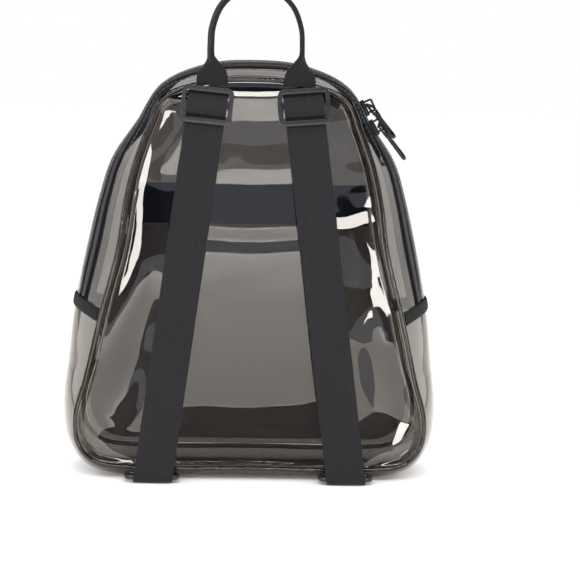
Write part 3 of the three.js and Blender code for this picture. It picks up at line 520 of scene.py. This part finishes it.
def add_piece(name, points, faces, slot, replaces=(), look=None, uv=None, sharp=38):
    mesh = bpy.data.meshes.new(name)
    flat = np.asarray(points, float).reshape(-1, 3)
    mesh.from_pydata((flat * MM).tolist(), [], faces)
    if uv is not None:
        corners = np.zeros(len(mesh.loops), np.int32)
        mesh.loops.foreach_get("vertex_index", corners)
        layer = mesh.uv_layers.new(name="weave")
        layer.data.foreach_set("uv", np.asarray(uv, np.float32).reshape(-1, 2)[corners].ravel())
    dress(name, mesh, slot, replaces, look=look, sharp=sharp)


# Object for a mesh, with its look, smooth up to an angle in degrees.
def dress(name, mesh, slot, replaces, look=None, body="root", sharp=38):
    shape = bmesh.new()
    shape.from_mesh(mesh)
    bmesh.ops.recalc_face_normals(shape, faces=shape.faces)
    shape.to_mesh(mesh)
    shape.free()
    mesh.materials.clear()
    mesh.materials.append(LOOKS[look or slot])
    mesh.shade_smooth()
    mesh.set_sharp_from_angle(angle=math.radians(sharp))
    piece = bpy.data.objects.new(name, mesh)
    bpy.context.scene.collection.objects.link(piece)
    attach(piece, body)
    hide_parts(*replaces)
    return piece


def quads(a, b, c, d):
    return np.stack([a, b, c, d], axis=-1).reshape(-1, 4)


# Faces of a thin sheet: the points of its upper grid, then as many of its lower grid.
def sheet_faces(rows, columns, closed):
    index = np.arange(rows * columns).reshape(rows, columns)
    if closed:
        index = np.vstack([index, index[:1]])
    under = index + rows * columns

    def wall(edge, low):
        return quads(edge[:-1], low[:-1], low[1:], edge[1:])

    parts = [
        quads(index[:-1, :-1], index[1:, :-1], index[1:, 1:], index[:-1, 1:]),
        quads(under[:-1, :-1], under[:-1, 1:], under[1:, 1:], under[1:, :-1]),
        wall(index[:, 0], under[:, 0]),
        wall(under[:, -1], index[:, -1]),
    ]
    if not closed:
        parts += [wall(under[0], index[0]), wall(index[-1], under[-1])]
    return np.vstack(parts).tolist()


def add_sheet(name, upper, lower, slot, closed=False, uv=None, **options):
    points = np.concatenate([upper.reshape(-1, 3), lower.reshape(-1, 3)])
    if uv is not None:
        uv = np.concatenate([uv.reshape(-1, 2)] * 2)
    add_piece(name, points, sheet_faces(*upper.shape[:2], closed), slot, uv=uv, **options)


# Faces of a tube through rings of points; an open tube gets a flat end at both sides.
def tube_faces(rings, sides, closed):
    index = np.arange(rings * sides).reshape(rings, sides)
    onward = np.vstack([index, index[:1]]) if closed else index
    round_about = np.hstack([onward, onward[:, :1]])
    faces = quads(
        round_about[:-1, :-1], round_about[:-1, 1:], round_about[1:, 1:], round_about[1:, :-1]
    ).tolist()
    if not closed:
        faces += [index[0][::-1].tolist(), index[-1].tolist()]
    return faces


# Many small rounded bars in one mesh. Each has a middle and three half axes.
def add_bars(name, middles, halves, slot, **options):
    rings, girth = np.array(BAR_RINGS).T
    angles = 2 * np.pi * np.arange(BAR_SIDES) / BAR_SIDES
    unit = np.stack([
        np.repeat(rings, BAR_SIDES),
        np.outer(girth, np.cos(angles)).ravel(),
        np.outer(girth, np.sin(angles)).ravel(),
    ], axis=-1)
    points = middles[:, None] + np.einsum("pk,nkc->npc", unit, halves)
    one = tube_faces(len(rings), BAR_SIDES, False)
    faces = [[corner + i * len(unit) for corner in face] for i in range(len(middles)) for face in one]
    add_piece(name, points, faces, slot, sharp=70, **options)


def node_shape(node):
    shape = bmesh.new()
    shape.from_mesh(nodes[node].data)
    bmesh.ops.remove_doubles(shape, verts=shape.verts, dist=WELD)
    return shape


def shape_mesh(name, shape):
    mesh = bpy.data.meshes.new(name)
    shape.to_mesh(mesh)
    shape.free()
    return mesh


# Copy of a hard node with rounded edges, as wide as its shortest edges allow, up to the width given.
def add_rounded(name, node, slot, width, body="root"):
    shape = node_shape(node)
    bmesh.ops.dissolve_limit(
        shape, angle_limit=math.radians(FLAT_ANGLE), verts=shape.verts, edges=shape.edges
    )
    edges = [edge for edge in shape.edges if edge.calc_face_angle(0) > math.radians(EDGE_ANGLE)]
    bmesh.ops.bevel(
        shape,
        geom=edges,
        offset=width * MM,
        offset_type="OFFSET",
        segments=ROUND_SEGMENTS,
        profile=0.5,
        affect="EDGES",
        clamp_overlap=True,
    )
    bmesh.ops.triangulate(shape, faces=shape.faces)
    dress(name, shape_mesh(name, shape), slot, [node], body=body, sharp=50)


# Copy of a hard node that is rounded all over.
def add_smoothed(name, node, slot):
    piece = dress(name, shape_mesh(name, node_shape(node)), slot, [node], sharp=180)
    modifier = piece.modifiers.new("round", "SUBSURF")
    modifier.levels = SMOOTH_LEVELS
    modifier.render_levels = SMOOTH_LEVELS


# Curves

# Centripetal curve through four neighbouring points, from the second (t = 0) to the third (t = 1).
def curve_between(before, first, second, after, t):
    gaps = []
    for start, end in ((before, first), (first, second), (second, after)):
        apart = np.linalg.norm(end - start, axis=-1, keepdims=True)
        gaps.append(np.sqrt(np.maximum(apart, LEAST_LENGTH)))
    low, middle, high = gaps
    coming = (first - before) / low
    passing = (second - first) / middle
    going = (after - second) / high
    leave = (coming - (second - before) / (low + middle) + passing) * middle
    arrive = (passing - (after - first) / (middle + high) + going) * middle
    t = t[..., None]
    square = 3 * (second - first) - 2 * leave - arrive
    cube = 2 * (first - second) + leave + arrive
    return first + t * (leave + t * (square + t * cube))


def loop_point(points, u):
    low = np.floor(u).astype(int)
    around = [points[(low + step) % len(points)] for step in (-1, 0, 1, 2)]
    return curve_between(*around, u - low)


# Points along a smooth curve through an open row of points, no further apart than the spacing.
def open_curve(points, spacing):
    points = np.asarray(points, float)
    padded = np.vstack([2 * points[0] - points[1], points, 2 * points[-1] - points[-2]])
    stretches = []
    for i in range(len(points) - 1):
        steps = max(2, math.ceil(np.linalg.norm(points[i + 1] - points[i]) / spacing))
        four = [np.repeat(padded[i + k][None], steps, axis=0) for k in range(4)]
        stretches.append(curve_between(*four, np.arange(steps) / steps))
    return np.vstack(stretches + [points[-1:]])


# Rows between those of a table, each stretch in as many even steps.
def open_rows(table, steps):
    last = len(table) - 1
    position = np.arange(last * steps + 1) / steps
    low = np.clip(np.floor(position).astype(int), 0, last - 1)
    t = (position - low)[:, None]
    a, b, c, d = (table[np.clip(low + step, 0, last)] for step in (-1, 0, 1, 2))
    return b + 0.5 * t * (c - a + t * (2 * a - 5 * b + 4 * c - d + t * (3 * b - a - 3 * c + d)))


# Length along a row of points, up to each of them.
def run_along(points):
    return np.concatenate([[0], np.cumsum(np.linalg.norm(np.diff(points, axis=0), axis=-1))])


def outline_loop(x_column, z_column):
    right = [(row[x_column], row[z_column]) for row in OUTLINE]
    left = [(-x, z) for x, z in reversed(right[1:-1])]
    return np.array(right + left, float)


def normalised(vectors):
    return vectors / np.linalg.norm(vectors, axis=-1, keepdims=True)


def fade(value, low, high):
    t = np.clip((value - low) / (high - low), 0, 1)
    return t * t * (3 - 2 * t)


# A pair of values for each place of a grid.
def grid_of(first, second):
    return np.stack(np.broadcast_arrays(first, second), axis=-1)


SEAM = outline_loop(0, 1)
BULGE = outline_loop(2, 3)
FLAT = np.array([row[4] for row in OUTLINE])
SEAM_U = np.linspace(0, LOOP_ROWS, SEAM_POINTS)
SEAM_TRACK = loop_point(SEAM, SEAM_U)
SEAM_RUN = run_along(SEAM_TRACK)


# Gusset: u runs round the outline in table rows, v from the back seam to the front seam

def rows_from_base(u):
    around = np.mod(u, LOOP_ROWS)
    return np.minimum(around, LOOP_ROWS - around)


def flat_share(u):
    return np.interp(rows_from_base(u), np.arange(HALF_ROWS + 1), FLAT)


def bulge_point(u):
    point = loop_point(BULGE, u)
    point[..., 1] = np.maximum(point[..., 1], 0)
    return point


def gusset_point(u, v):
    u, v = np.broadcast_arrays(np.asarray(u, float), np.asarray(v, float))
    flat = flat_share(u)
    slope = np.maximum(0, (np.abs(v) - flat) / (1 - flat)) ** 2
    bulge = bulge_point(u)
    profile = bulge + (loop_point(SEAM, u) - bulge) * slope[..., None]
    return np.stack([profile[..., 0], v * HALF_DEPTH, profile[..., 1]], axis=-1)


def gusset_axes(u, v):
    along = gusset_point(u + NUDGE, v) - gusset_point(u - NUDGE, v)
    across = gusset_point(u, v + NUDGE) - gusset_point(u, v - NUDGE)
    return normalised(along), normalised(across), normalised(np.cross(across, along))


def gusset_at(u, v, lift):
    return gusset_point(u, v) + gusset_axes(u, v)[2] * np.asarray(lift)[..., None]


def gusset_edge(u):
    reach = np.linalg.norm(bulge_point(u) - loop_point(SEAM, u), axis=-1)
    return 1 - SEAM_INSET / np.hypot(HALF_DEPTH, 2 * reach / (1 - flat_share(u)))


# Little gathers along a seam, from the distance to it and the length along it.
def puckers(distance, run):
    angle = 2 * np.pi * run / PUCKER["pitch"]
    for size, length in PUCKER_WOBBLE:
        angle = angle + size * np.sin(run / length)
    return PUCKER["height"] * (0.5 + 0.5 * np.sin(angle)) * np.exp(-distance / PUCKER["reach"])


def gusset_grid(start, end, columns):
    run = np.interp([start % LOOP_ROWS, end % LOOP_ROWS], SEAM_U, SEAM_RUN)
    length = (run[1] - run[0]) % SEAM_RUN[-1]
    u = np.linspace(start, end, max(3, round(length / GUSSET_SPACING)))[:, None]
    edge = gusset_edge(u)
    return u, np.clip(columns[None, :], -edge, edge)


def gusset_sheet(name, start, end, columns, top, bottom, slot, look=None, gathered=False):
    u, v = gusset_grid(start, end, columns)
    wave = np.zeros(v.shape)
    run = np.interp(np.mod(u, LOOP_ROWS), SEAM_U, SEAM_RUN)
    if gathered:
        rows = rows_from_base(u)
        calm = fade(rows, *PUCKER_START_ROWS) * fade(np.abs(rows - ZIP_END_ROW), *PUCKER_ZIP_END_ROWS)
        wave = puckers((1 - np.abs(v)) * HALF_DEPTH, run) * calm
    add_sheet(
        name,
        gusset_at(u, v, top + wave),
        gusset_at(u, v, bottom + wave),
        slot,
        replaces=[name.rsplit("_", 1)[0]],
        look=look,
        uv=grid_of(v * HALF_DEPTH, run),
    )


# Panels: rows from the base to the top, columns from the left seam to the right seam

def seam_along(u):
    return normalised(loop_point(SEAM, u + NUDGE) - loop_point(SEAM, u - NUDGE))


def seam_inset(u, inset):
    along = seam_along(u)
    inward = np.stack([-along[..., 1], along[..., 0]], axis=-1)
    return loop_point(SEAM, u) + inward * inset


def strap_middle(z):
    return STRAP_TOP_X + STRAP_LEAN * (SLIDE_Z - z)


def dent_depth(dents, x, z, distance):
    depth = np.zeros(x.shape)
    for dent_x, dent_z, most, spread_x, spread_z in dents:
        depth += most * np.exp(-((x - dent_x) / spread_x) ** 2 - ((z - dent_z) / spread_z) ** 2)
    return depth * (1 - (1 - np.minimum(distance / DENT_REACH, 1)) ** DENT_EDGE_POWER)


# Depth of the folds across a panel: their slopes added up from the base. The tables meet behind the straps.
def fold_depth(folds, x, z):
    angle = 2 * np.pi * x / FOLD_SWAY["pitch"] + FOLD_SWAY["start"]
    sway = FOLD_SWAY["height"] * np.sin(angle) + FOLD_SWAY["tilt"] * x
    ripple = FOLD_RIPPLE["height"] * (x / FOLD_RIPPLE["full_at_x"]) ** 2
    sway += ripple * np.sin(2 * np.pi * x / FOLD_RIPPLE["pitch"] + z / FOLD_RIPPLE["turn"])
    zones = []
    for table in folds:
        slopes = np.interp(FOLD_HEIGHTS, *np.array(table).T, left=0)
        depths = np.cumsum(slopes) * (FOLD_HEIGHTS[1] - FOLD_HEIGHTS[0])
        zones.append(np.interp(z + sway, FOLD_HEIGHTS, depths))
    left, middle, right = zones
    inner, outer = [strap_middle(z) + widths * WEB_WIDTH for widths in FOLD_BLEND]
    to_left = fade(-x, inner, outer)
    to_right = fade(x, inner, outer)
    return middle + to_left * (left - middle) + to_right * (right - middle)


# Depth to which a panel rolls in to its side seams, from the distance to them and the length along them.
def tuck_depth(x, z, distance, run):
    drift = TUCK_WAVE["drift"] * np.sin(run / TUCK_WAVE["drift_length"])
    reach = TUCK["reach"] * (1 + TUCK_WAVE["share"] * np.sin(run / TUCK_WAVE["length"] + drift))
    soft = np.clip(reach + TUCK["soft"] - distance, 0, 2 * TUCK["soft"])
    straight = np.maximum(reach - TUCK["soft"] - distance, 0)
    low_left = 1 - TUCK_CALM_LEFT * (x < 0) * (1 - fade(z, *TUCK_LOW_LEFT))
    high_right = 1 - TUCK_CALM_RIGHT * (x > 0) * fade(z, *TUCK_HIGH_RIGHT)
    rolled = (1 - fade(z, *TUCK_TOP)) * low_left * high_right
    return TUCK["slope"] * (soft ** 2 / (4 * TUCK["soft"]) + straight) * rolled


def panel(name, facing, dents, folds):
    rows, columns = PANEL_POINTS
    corner = np.linspace(1, 2, PANEL_CORNER_POINTS, endpoint=False)
    right = seam_inset(np.concatenate([corner, np.linspace(2, PANEL_TOP_ROW, rows)]), SEAM_INSET)
    share = np.linspace(-1, 1, columns)
    x = right[:, :1] * share
    beside = right[:, :1] * (1 - np.abs(share)) + SEAM_INSET
    z = np.repeat(right[:, 1:], columns, axis=1)
    apart = np.linalg.norm(np.stack([x, z], axis=-1)[:, :, None] - SEAM_TRACK[::SEAM_STRIDE], axis=-1)
    distance = apart.min(axis=2)
    run = SEAM_RUN[::SEAM_STRIDE][apart.argmin(axis=2)]
    depth = dent_depth(dents, x, z, distance)
    depth += fold_depth(folds, x, z) + tuck_depth(x, z, beside, run)
    depth *= fade(distance, SEAM_INSET, SEAM_INSET + FOLD_REACH)
    calm = fade(z, *PUCKER_START_Z) * (1 - fade(z, *PUCKER_END_Z))
    calm *= fade(distance, SEAM_INSET, SEAM_INSET + PUCKER["edge"])
    depth += puckers(distance, run) * calm
    outer = np.stack([x, facing * (HALF_DEPTH - depth), z], axis=-1)
    inner = outer - np.array([0, facing * VINYL, 0])
    add_sheet(f"{name}_vinyl", outer, inner, "smoke_vinyl", replaces=[name])


def seam_piping(name, facing):
    steps, sides = PIPING_POINTS
    u = np.linspace(0, LOOP_ROWS, steps, endpoint=False)
    middle = loop_point(SEAM, u)
    along = seam_along(u)
    angle = 2 * np.pi * np.arange(sides) / sides
    ripple = np.sin(SEAM_RUN[-1] * u / LOOP_ROWS * 2 * np.pi / PIPING_RIPPLE["pitch"])
    radius = PIPING_RADIUS * (1 - PIPING_RIPPLE["share"] * ripple)[:, None]
    points = np.stack([
        middle[:, :1] - along[:, 1:] * radius * np.cos(angle),
        facing * HALF_DEPTH + radius * np.sin(angle),
        middle[:, 1:] + along[:, :1] * radius * np.cos(angle),
    ], axis=-1)
    faces = tube_faces(steps, sides, True)
    add_piece(f"{name}_cord", points, faces, "vinyl_piping", replaces=[name], sharp=180)


def top_binding():
    steps, columns = BINDING_POINTS
    u = np.linspace(HALF_ROWS - BINDING_ROWS, HALF_ROWS + BINDING_ROWS, steps)
    insets = np.linspace(BINDING_INSET, BINDING_INSET + BINDING_WIDTH, columns)
    flat = np.stack([seam_inset(u, inset) for inset in insets], axis=1)
    depth = np.full(flat.shape[:2], -HALF_DEPTH + VINYL + GAP)
    upper = np.stack([flat[..., 0], depth, flat[..., 1]], axis=-1)
    lower = upper + np.array([0, BINDING_THICKNESS, 0])
    run = np.interp(u, SEAM_U, SEAM_RUN)
    uv = grid_of(insets[None, :], run[:, None])
    add_sheet("top_binding_tape", upper, lower, "black_tape", replaces=["top_binding"], uv=uv)


panel("back_panel", -1, BACK_DENTS, BACK_FOLDS)
panel("front_panel", 1, FRONT_DENTS, FRONT_FOLDS)
seam_piping("back_piping", -1)
seam_piping("front_piping", 1)
top_binding()


# Gusset sheets and the main zip

# Gusset sheets of smoke vinyl, shown with the lighter copy of its look, which is painted light
def gusset_vinyl(name, start, end, columns):
    gusset_sheet(name, start, end, columns, 0, -VINYL, "smoke_vinyl", "gusset_vinyl", gathered=True)


def gusset_sheets():
    start = ZIP_END_ROW + JOINT_HALF
    end = LOOP_ROWS - start
    lower_end = ZIP_END_ROW - JOINT_HALF
    slot_back = ZIP_CENTRE - ZIP_SLOT_HALF
    slot_front = ZIP_CENTRE + ZIP_SLOT_HALF
    gusset_vinyl("lower_gusset_vinyl", -lower_end, lower_end, np.linspace(-1, 1, LOWER_COLUMNS))
    gusset_vinyl("zip_gusset_back_vinyl", start, end, np.linspace(-1, slot_back, BACK_COLUMNS))
    gusset_vinyl("zip_gusset_front_vinyl", start, end, np.linspace(slot_front, 1, FRONT_COLUMNS))
    tape = np.linspace(ZIP_CENTRE - ZIP_TAPE_HALF, ZIP_CENTRE + ZIP_TAPE_HALF, TAPE_COLUMNS)
    top = -VINYL - GAP
    gusset_sheet("zip_tape_weave", start, end, tape, top, top - TAPE_THICKNESS, "black_tape")


# Places along the zip at an even pitch.
def along_zip(start, pitch):
    first, last = np.interp([start, LOOP_ROWS - start], SEAM_U, SEAM_RUN)
    return np.interp(np.arange(first + pitch / 2, last, pitch), SEAM_RUN, SEAM_U)


# The coil's turns lean to either side in turn.
def tooth_sides(count):
    return np.where(np.arange(count) % 2, 1, -1) * TOOTH["shift"]


def zip_coil():
    u = along_zip(ZIP_END_ROW + BAND_HALF + ZIP_COIL_CLEAR, TOOTH["pitch"])
    v = ZIP_CENTRE + tooth_sides(len(u)) * ZIP_COIL_HALF
    along, across, up = gusset_axes(u, v)
    reach = ZIP_COIL_HALF * HALF_DEPTH * TOOTH["reach"]
    halves = np.stack([across * reach, along * TOOTH["half_width"], up * TOOTH["half_height"]], axis=1)
    add_bars("zip_coil_teeth", gusset_point(u, v), halves, "zip_coil", replaces=["zip_coil"])


def zip_stitches():
    u = along_zip(ZIP_END_ROW + STITCH_END_ROWS, STITCH["pitch"])
    beside = ZIP_SLOT_HALF + STITCH_BESIDE_SLOT
    middles = []
    halves = []
    for v in (ZIP_CENTRE - beside, ZIP_CENTRE + beside):
        along, across, up = gusset_axes(u, v)
        middles.append(gusset_at(u, v, STITCH["lift"]))
        axes = [along * STITCH["half_length"], across * STITCH["half_width"], up * STITCH["half_height"]]
        halves.append(np.stack(axes, axis=1))
    add_bars("zip_stitches", np.concatenate(middles), np.concatenate(halves), "black_tape", look="thread")


def end_band(side, row):
    rows, columns = BAND_POINTS
    u = np.linspace(row - BAND_HALF, row + BAND_HALF, rows)[:, None]
    edge = gusset_edge(u)
    v = np.clip(np.linspace(-1, 1, columns)[None, :], -edge, edge)
    across = (u - row) / BAND_HALF
    crown = GAP + BAND_THICKNESS * (1 - BAND_CROWN["drop"] * across ** BAND_CROWN["power"])
    add_sheet(
        f"zip_end_band_{side}_tape",
        gusset_at(u, v, crown),
        gusset_at(u, v, GAP),
        "black_tape",
        replaces=[f"zip_end_band_{side}"],
        uv=grid_of(across * BAND_WEAVE_HALF, v * HALF_DEPTH),
    )


gusset_sheets()
zip_coil()
zip_stitches()
end_band("right", ZIP_END_ROW)
end_band("left", LOOP_ROWS - ZIP_END_ROW)

# Front pocket

POCKET_SIDE = loop_point(SEAM, np.linspace(1, HALF_ROWS, POCKET_SIDE_POINTS))


def pocket_point(share, z, lift):
    half_width = np.interp(z - POCKET_INSET, POCKET_SIDE[:, 1], POCKET_SIDE[:, 0]) - POCKET_INSET
    rise = (z - POCKET_BOTTOM) / (POCKET_TOP - POCKET_BOTTOM)
    upwards = np.maximum(4 * rise * (1 - rise), 0) ** POCKET_RISE_POWER
    bulge = POCKET_BULGE * (1 - share ** POCKET_EDGE_POWER) * upwards
    place = np.broadcast_arrays(share * half_width, HALF_DEPTH + GAP + bulge + lift, z)
    return np.stack(place, axis=-1)


def pocket_sheet(name, node, levels, slot):
    share = np.linspace(-1, 1, POCKET_POINTS[1])[None, :]
    z = levels[:, None]
    outside = pocket_point(share, z, VINYL)
    inside = pocket_point(share, z, 0)
    add_sheet(name, outside, inside, slot, replaces=[node], uv=grid_of(z, share * POCKET_WEAVE_HALF))


def pocket_coil():
    middle = (POCKET_ZIP_BOTTOM + POCKET_TOP) / 2
    half_width = pocket_point(1, middle, 0)[0]
    reach = POCKET_COIL_REACH * half_width
    x = np.arange(-reach, reach, TOOTH["pitch"])
    z = middle + tooth_sides(len(x)) * POCKET_COIL_HALF
    middles = pocket_point(x / half_width, z, VINYL + 2 * GAP + POCKET_COIL_LIFT)
    axes = np.array([
        [0, 0, POCKET_COIL_HALF * TOOTH["reach"]],
        [TOOTH["half_width"], 0, 0],
        [0, POCKET_TOOTH_HALF_HEIGHT, 0],
    ])
    halves = np.repeat(axes[None], len(x), axis=0)
    add_bars("pocket_zip_coil_teeth", middles, halves, "zip_coil", replaces=["pocket_zip_coil"])


def pocket():
    rise = np.linspace(0, 1, POCKET_POINTS[0]) ** POCKET_LEVEL_POWER
    levels = POCKET_BOTTOM + (POCKET_ZIP_BOTTOM - POCKET_BOTTOM) * rise
    tape_levels = np.linspace(POCKET_ZIP_BOTTOM + GAP, POCKET_TOP, POCKET_TAPE_ROWS)
    pocket_sheet("pocket_panel_vinyl", "pocket_panel", levels, "smoke_vinyl")
    pocket_sheet("pocket_zip_tape_weave", "pocket_zip_tape", tape_levels, "black_tape")
    pocket_coil()
    add_rounded("pocket_zip_slider_metal", "pocket_zip_slider", "dark_metal", POCKET_SLIDER_ROUND)


pocket()

# Zip sliders and pulls
for level in ("upper", "lower"):
    add_rounded(f"zip_slider_{level}_metal", f"zip_slider_{level}", "dark_metal", SLIDER_ROUND)
    add_rounded(
        f"zip_pull_{level}_metal", f"zip_pull_{level}", "dark_metal", PULL_ROUND, body=f"pull_{level}"
    )


# Straps, slides and rings

# Grooves between the ribs of the webbing, below zero.
def ribs(across):
    return WEB_RIB["height"] * (np.cos(2 * np.pi * across / WEB_RIB["pitch"]) - 1)


# Webbing along a route in the side view (distance from the back panel, height): its upper and lower points
# and the places of its weave, all along by across.
def ribbon(route, width):
    along = normalised(np.gradient(route, axis=0))
    side = np.stack([-along[:, 1], along[:, 0]], axis=-1)
    columns = round(RIB_POINTS * width / WEB_RIB["pitch"]) + 1
    x = np.linspace(-width / 2, width / 2, columns)
    edge = 1 - WEB_EDGE["thinner"] * np.abs(2 * x / width) ** WEB_EDGE["power"]
    half = WEB_THICKNESS / 2 * edge + ribs(x)

    def face(sign):
        flat = route[:, None] + sign * side[:, None] * half[None, :, None]
        return np.stack([
            np.repeat(x[None], len(route), axis=0),
            -HALF_DEPTH - flat[..., 0],
            flat[..., 1],
        ], axis=-1)

    return face(1), face(-1), grid_of(x[None, :], run_along(route)[:, None])


def lean(points, side):
    x, y, z = np.moveaxis(points, -1, 0)
    tilt = math.tan(SLIDE_TILT) * fade(z, STRAP_LEVEL_Z, STRAP_TILT_Z)
    return np.stack([x + side * strap_middle(z), y, z + side * x * tilt], axis=-1)


def strap_route():
    over = [(out, SLIDE_Z + rise) for out, rise in STRAP_OVER_SLIDE]
    back = [(out, SLIDE_Z + rise) for out, rise in STRAP_ROUND_BAR]
    wrap = RING_RADIUS + GAP + WEB_THICKNESS / 2
    turns = [
        (RING_OUTER[0] + wrap * math.cos(angle), RING_OUTER[1] + wrap * math.sin(angle))
        for angle in np.linspace(0, -math.pi, RING_TURN_POINTS)
    ]
    fall = (STRAP_JOIN_Z - turns[0][1]) / (over[-1][1] - turns[0][1])
    join_out = turns[0][0] + fall * (over[-1][0] - turns[0][0]) - WEB_THICKNESS - 2 * GAP
    return open_curve(over + turns + [(join_out, STRAP_JOIN_Z)] + back, WEB_SPACING)


def strap(name, side):
    upper, lower, weave = ribbon(strap_route(), WEB_WIDTH)
    add_sheet(
        f"strap_{name}_webbing",
        lean(upper, side),
        lean(lower, side),
        "strap_webbing",
        replaces=[f"strap_{name}"],
        uv=weave,
        sharp=60,
    )


def ring_tab(name, side):
    angle = np.linspace(0, 2 * np.pi, RING_TAB_POINTS, endpoint=False)
    bore = RING_RADIUS + GAP + WEB_THICKNESS / 2
    route = np.stack([RING_INNER[0] + bore * np.cos(angle), RING_INNER[1] + bore * np.sin(angle)], axis=-1)
    inner, outer, weave = ribbon(np.vstack([route[-1:], route, route[:1]]), RING_TAB_WIDTH)
    shift = np.array([side * strap_middle(RING_OUTER[1]) + RING_SHIFT[name], 0, 0])
    add_sheet(
        f"ring_tab_{name}_webbing",
        outer[1:-1] + shift,
        inner[1:-1] + shift,
        "strap_webbing",
        closed=True,
        replaces=[f"ring_tab_{name}"],
        uv=weave[1:-1],
    )


for name, side in (("left", -1), ("right", 1)):
    strap(name, side)
    add_rounded(f"slide_{name}_plastic", f"slide_{name}", "grey_plastic", SLIDE_ROUND)
    add_smoothed(f"ring_{name}_plastic", f"ring_{name}", "grey_plastic")
    ring_tab(name, side)


# Haul handle, from the right foot over the loop to the left foot.
def haul_handle():
    rows = open_rows(HANDLE_ROWS, HANDLE_STEPS)
    mirror = rows[:-1][::-1] * np.array([-1, 1, 1, 1, 1, 1])
    most_turn = np.repeat([1, HANDLE_LEFT_TURN], [len(rows), len(mirror)])
    table = np.vstack([rows, mirror])
    middle = table[:, :3]
    along = normalised(np.gradient(middle, axis=0))
    depthways = np.array([0.0, 1.0, 0.0])
    sideways = np.cross(depthways, along)
    angle = np.pi / 2 * np.minimum(table[:, 5], most_turn)[:, None]
    wide = sideways * np.cos(angle) + depthways * np.sin(angle)
    wide = normalised(wide - along * (wide * along).sum(axis=1, keepdims=True))
    thick = np.cross(along, wide)
    turn = 2 * np.pi * np.arange(HANDLE_SIDES) / HANDLE_SIDES
    across = np.sign(np.cos(turn)) * np.abs(np.cos(turn)) ** HANDLE_CORNERS["across"]
    proud = np.sign(np.sin(turn)) * np.abs(np.sin(turn)) ** HANDLE_CORNERS["proud"]
    offset = across[None, :] * table[:, 3:4]
    height = proud[None, :] * table[:, 4:5] + ribs(offset) * np.sign(proud) * np.abs(proud)
    points = middle[:, None] + wide[:, None] * offset[..., None] + thick[:, None] * height[..., None]
    uv = grid_of(offset, run_along(middle)[:, None])
    faces = tube_faces(len(table), HANDLE_SIDES, False)
    add_piece(
        "haul_handle_webbing", points, faces, "handle_webbing", replaces=["haul_handle"], uv=uv, sharp=60
    )


haul_handle()


# Floor, light and camera

def pale_floor():
    mesh = bpy.data.meshes.new("floor")
    mesh.from_pydata([(x, y, 0) for x, y in FLOOR], [], [tuple(range(len(FLOOR)))])
    material, tree = new_material("floor_look")
    place = put(tree, "ShaderNodeTexCoord").outputs["Object"]
    tone = mixed_colour(tree, noise(tree, place, FLOOR_NOISE), *FLOOR_TONES)
    values = {"Roughness": FLOOR_ROUGHNESS, "Specular IOR Level": 0.0}
    finish_material(tree, put(tree, "ShaderNodeBsdfPrincipled", values, {"Base Color": tone}))
    mesh.materials.append(material)
    floor = bpy.data.objects.new("floor", mesh)
    bpy.context.scene.collection.objects.link(floor)


# White surroundings, with a dark studio and its grey floor in what shiny surfaces mirror.
def studio_world():
    world = bpy.data.worlds.new("studio")
    world.use_nodes = True
    tree = world.node_tree
    tree.nodes.clear()
    path = put(tree, "ShaderNodeLightPath")
    direction = put(tree, "ShaderNodeTexCoord").outputs["Generated"]
    way = put(tree, "ShaderNodeSeparateXYZ", links={0: direction}).outputs
    leftward = calculate(tree, "MULTIPLY", way["X"], -1.0)
    rightward = calculate(tree, "MULTIPLY", way["X"], GREY_FLOOR["narrow"])
    sideways = calculate(tree, "MAXIMUM", leftward, rightward)
    steep = calculate(tree, "LESS_THAN", way["Z"], GREY_FLOOR["steep"])
    reach = calculate(tree, "MULTIPLY_ADD", steep, GREY_FLOOR["narrow"] - 1.0, 1.0)
    below = calculate(tree, "LESS_THAN", way["Z"], GREY_FLOOR["below"])
    grey_floor = calculate(tree, "MULTIPLY", below, calculate(tree, "LESS_THAN", sideways, reach))
    mirrored = mixed_colour(tree, grey_floor, STUDIO_DARK, STUDIO_FLOOR)
    tone = mixed_colour(tree, path.outputs["Is Glossy Ray"], STUDIO_LIGHT, mirrored)
    seen = mixed_colour(tree, path.outputs["Is Camera Ray"], tone, STUDIO_SEEN)
    light = put(tree, "ShaderNodeBackground", links={"Color": seen})
    put(tree, "ShaderNodeOutputWorld", links={"Surface": light.outputs[0]})
    bpy.context.scene.world = world


def softbox(name, place, aim, width, height, brightness):
    light = bpy.data.lights.new(name, "AREA")
    light.shape = "RECTANGLE"
    light.size = width
    light.size_y = height
    light.energy = brightness * math.pi * width * height
    lamp = bpy.data.objects.new(name, light)
    lamp.location = place
    lamp.rotation_euler = (Vector(aim) - Vector(place)).to_track_quat("-Z", "Y").to_euler()
    bpy.context.scene.collection.objects.link(lamp)


def photo_camera():
    data = bpy.data.cameras.new("photo_camera")
    data.lens = CAMERA_LENS
    data.sensor_width = SENSOR_WIDTH
    camera = bpy.data.objects.new("photo_camera", data)
    camera.location = Vector(CAMERA_PLACE) * MM
    gaze = (Vector(CAMERA_LOOKS_AT) - Vector(CAMERA_PLACE)).to_track_quat("-Z", "Y")
    roll = Matrix.Rotation(math.radians(CAMERA_ROLL), 3, "Z")
    camera.rotation_euler = (gaze.to_matrix() @ roll).to_euler()
    bpy.context.scene.collection.objects.link(camera)
    bpy.context.scene.camera = camera


pale_floor()
studio_world()
for name, settings in SOFTBOXES.items():
    softbox(name, *settings)
photo_camera()
bpy.context.scene.view_settings.view_transform = "Standard"
bpy.context.scene.cycles.transparent_max_bounces = TRANSPARENT_BOUNCES
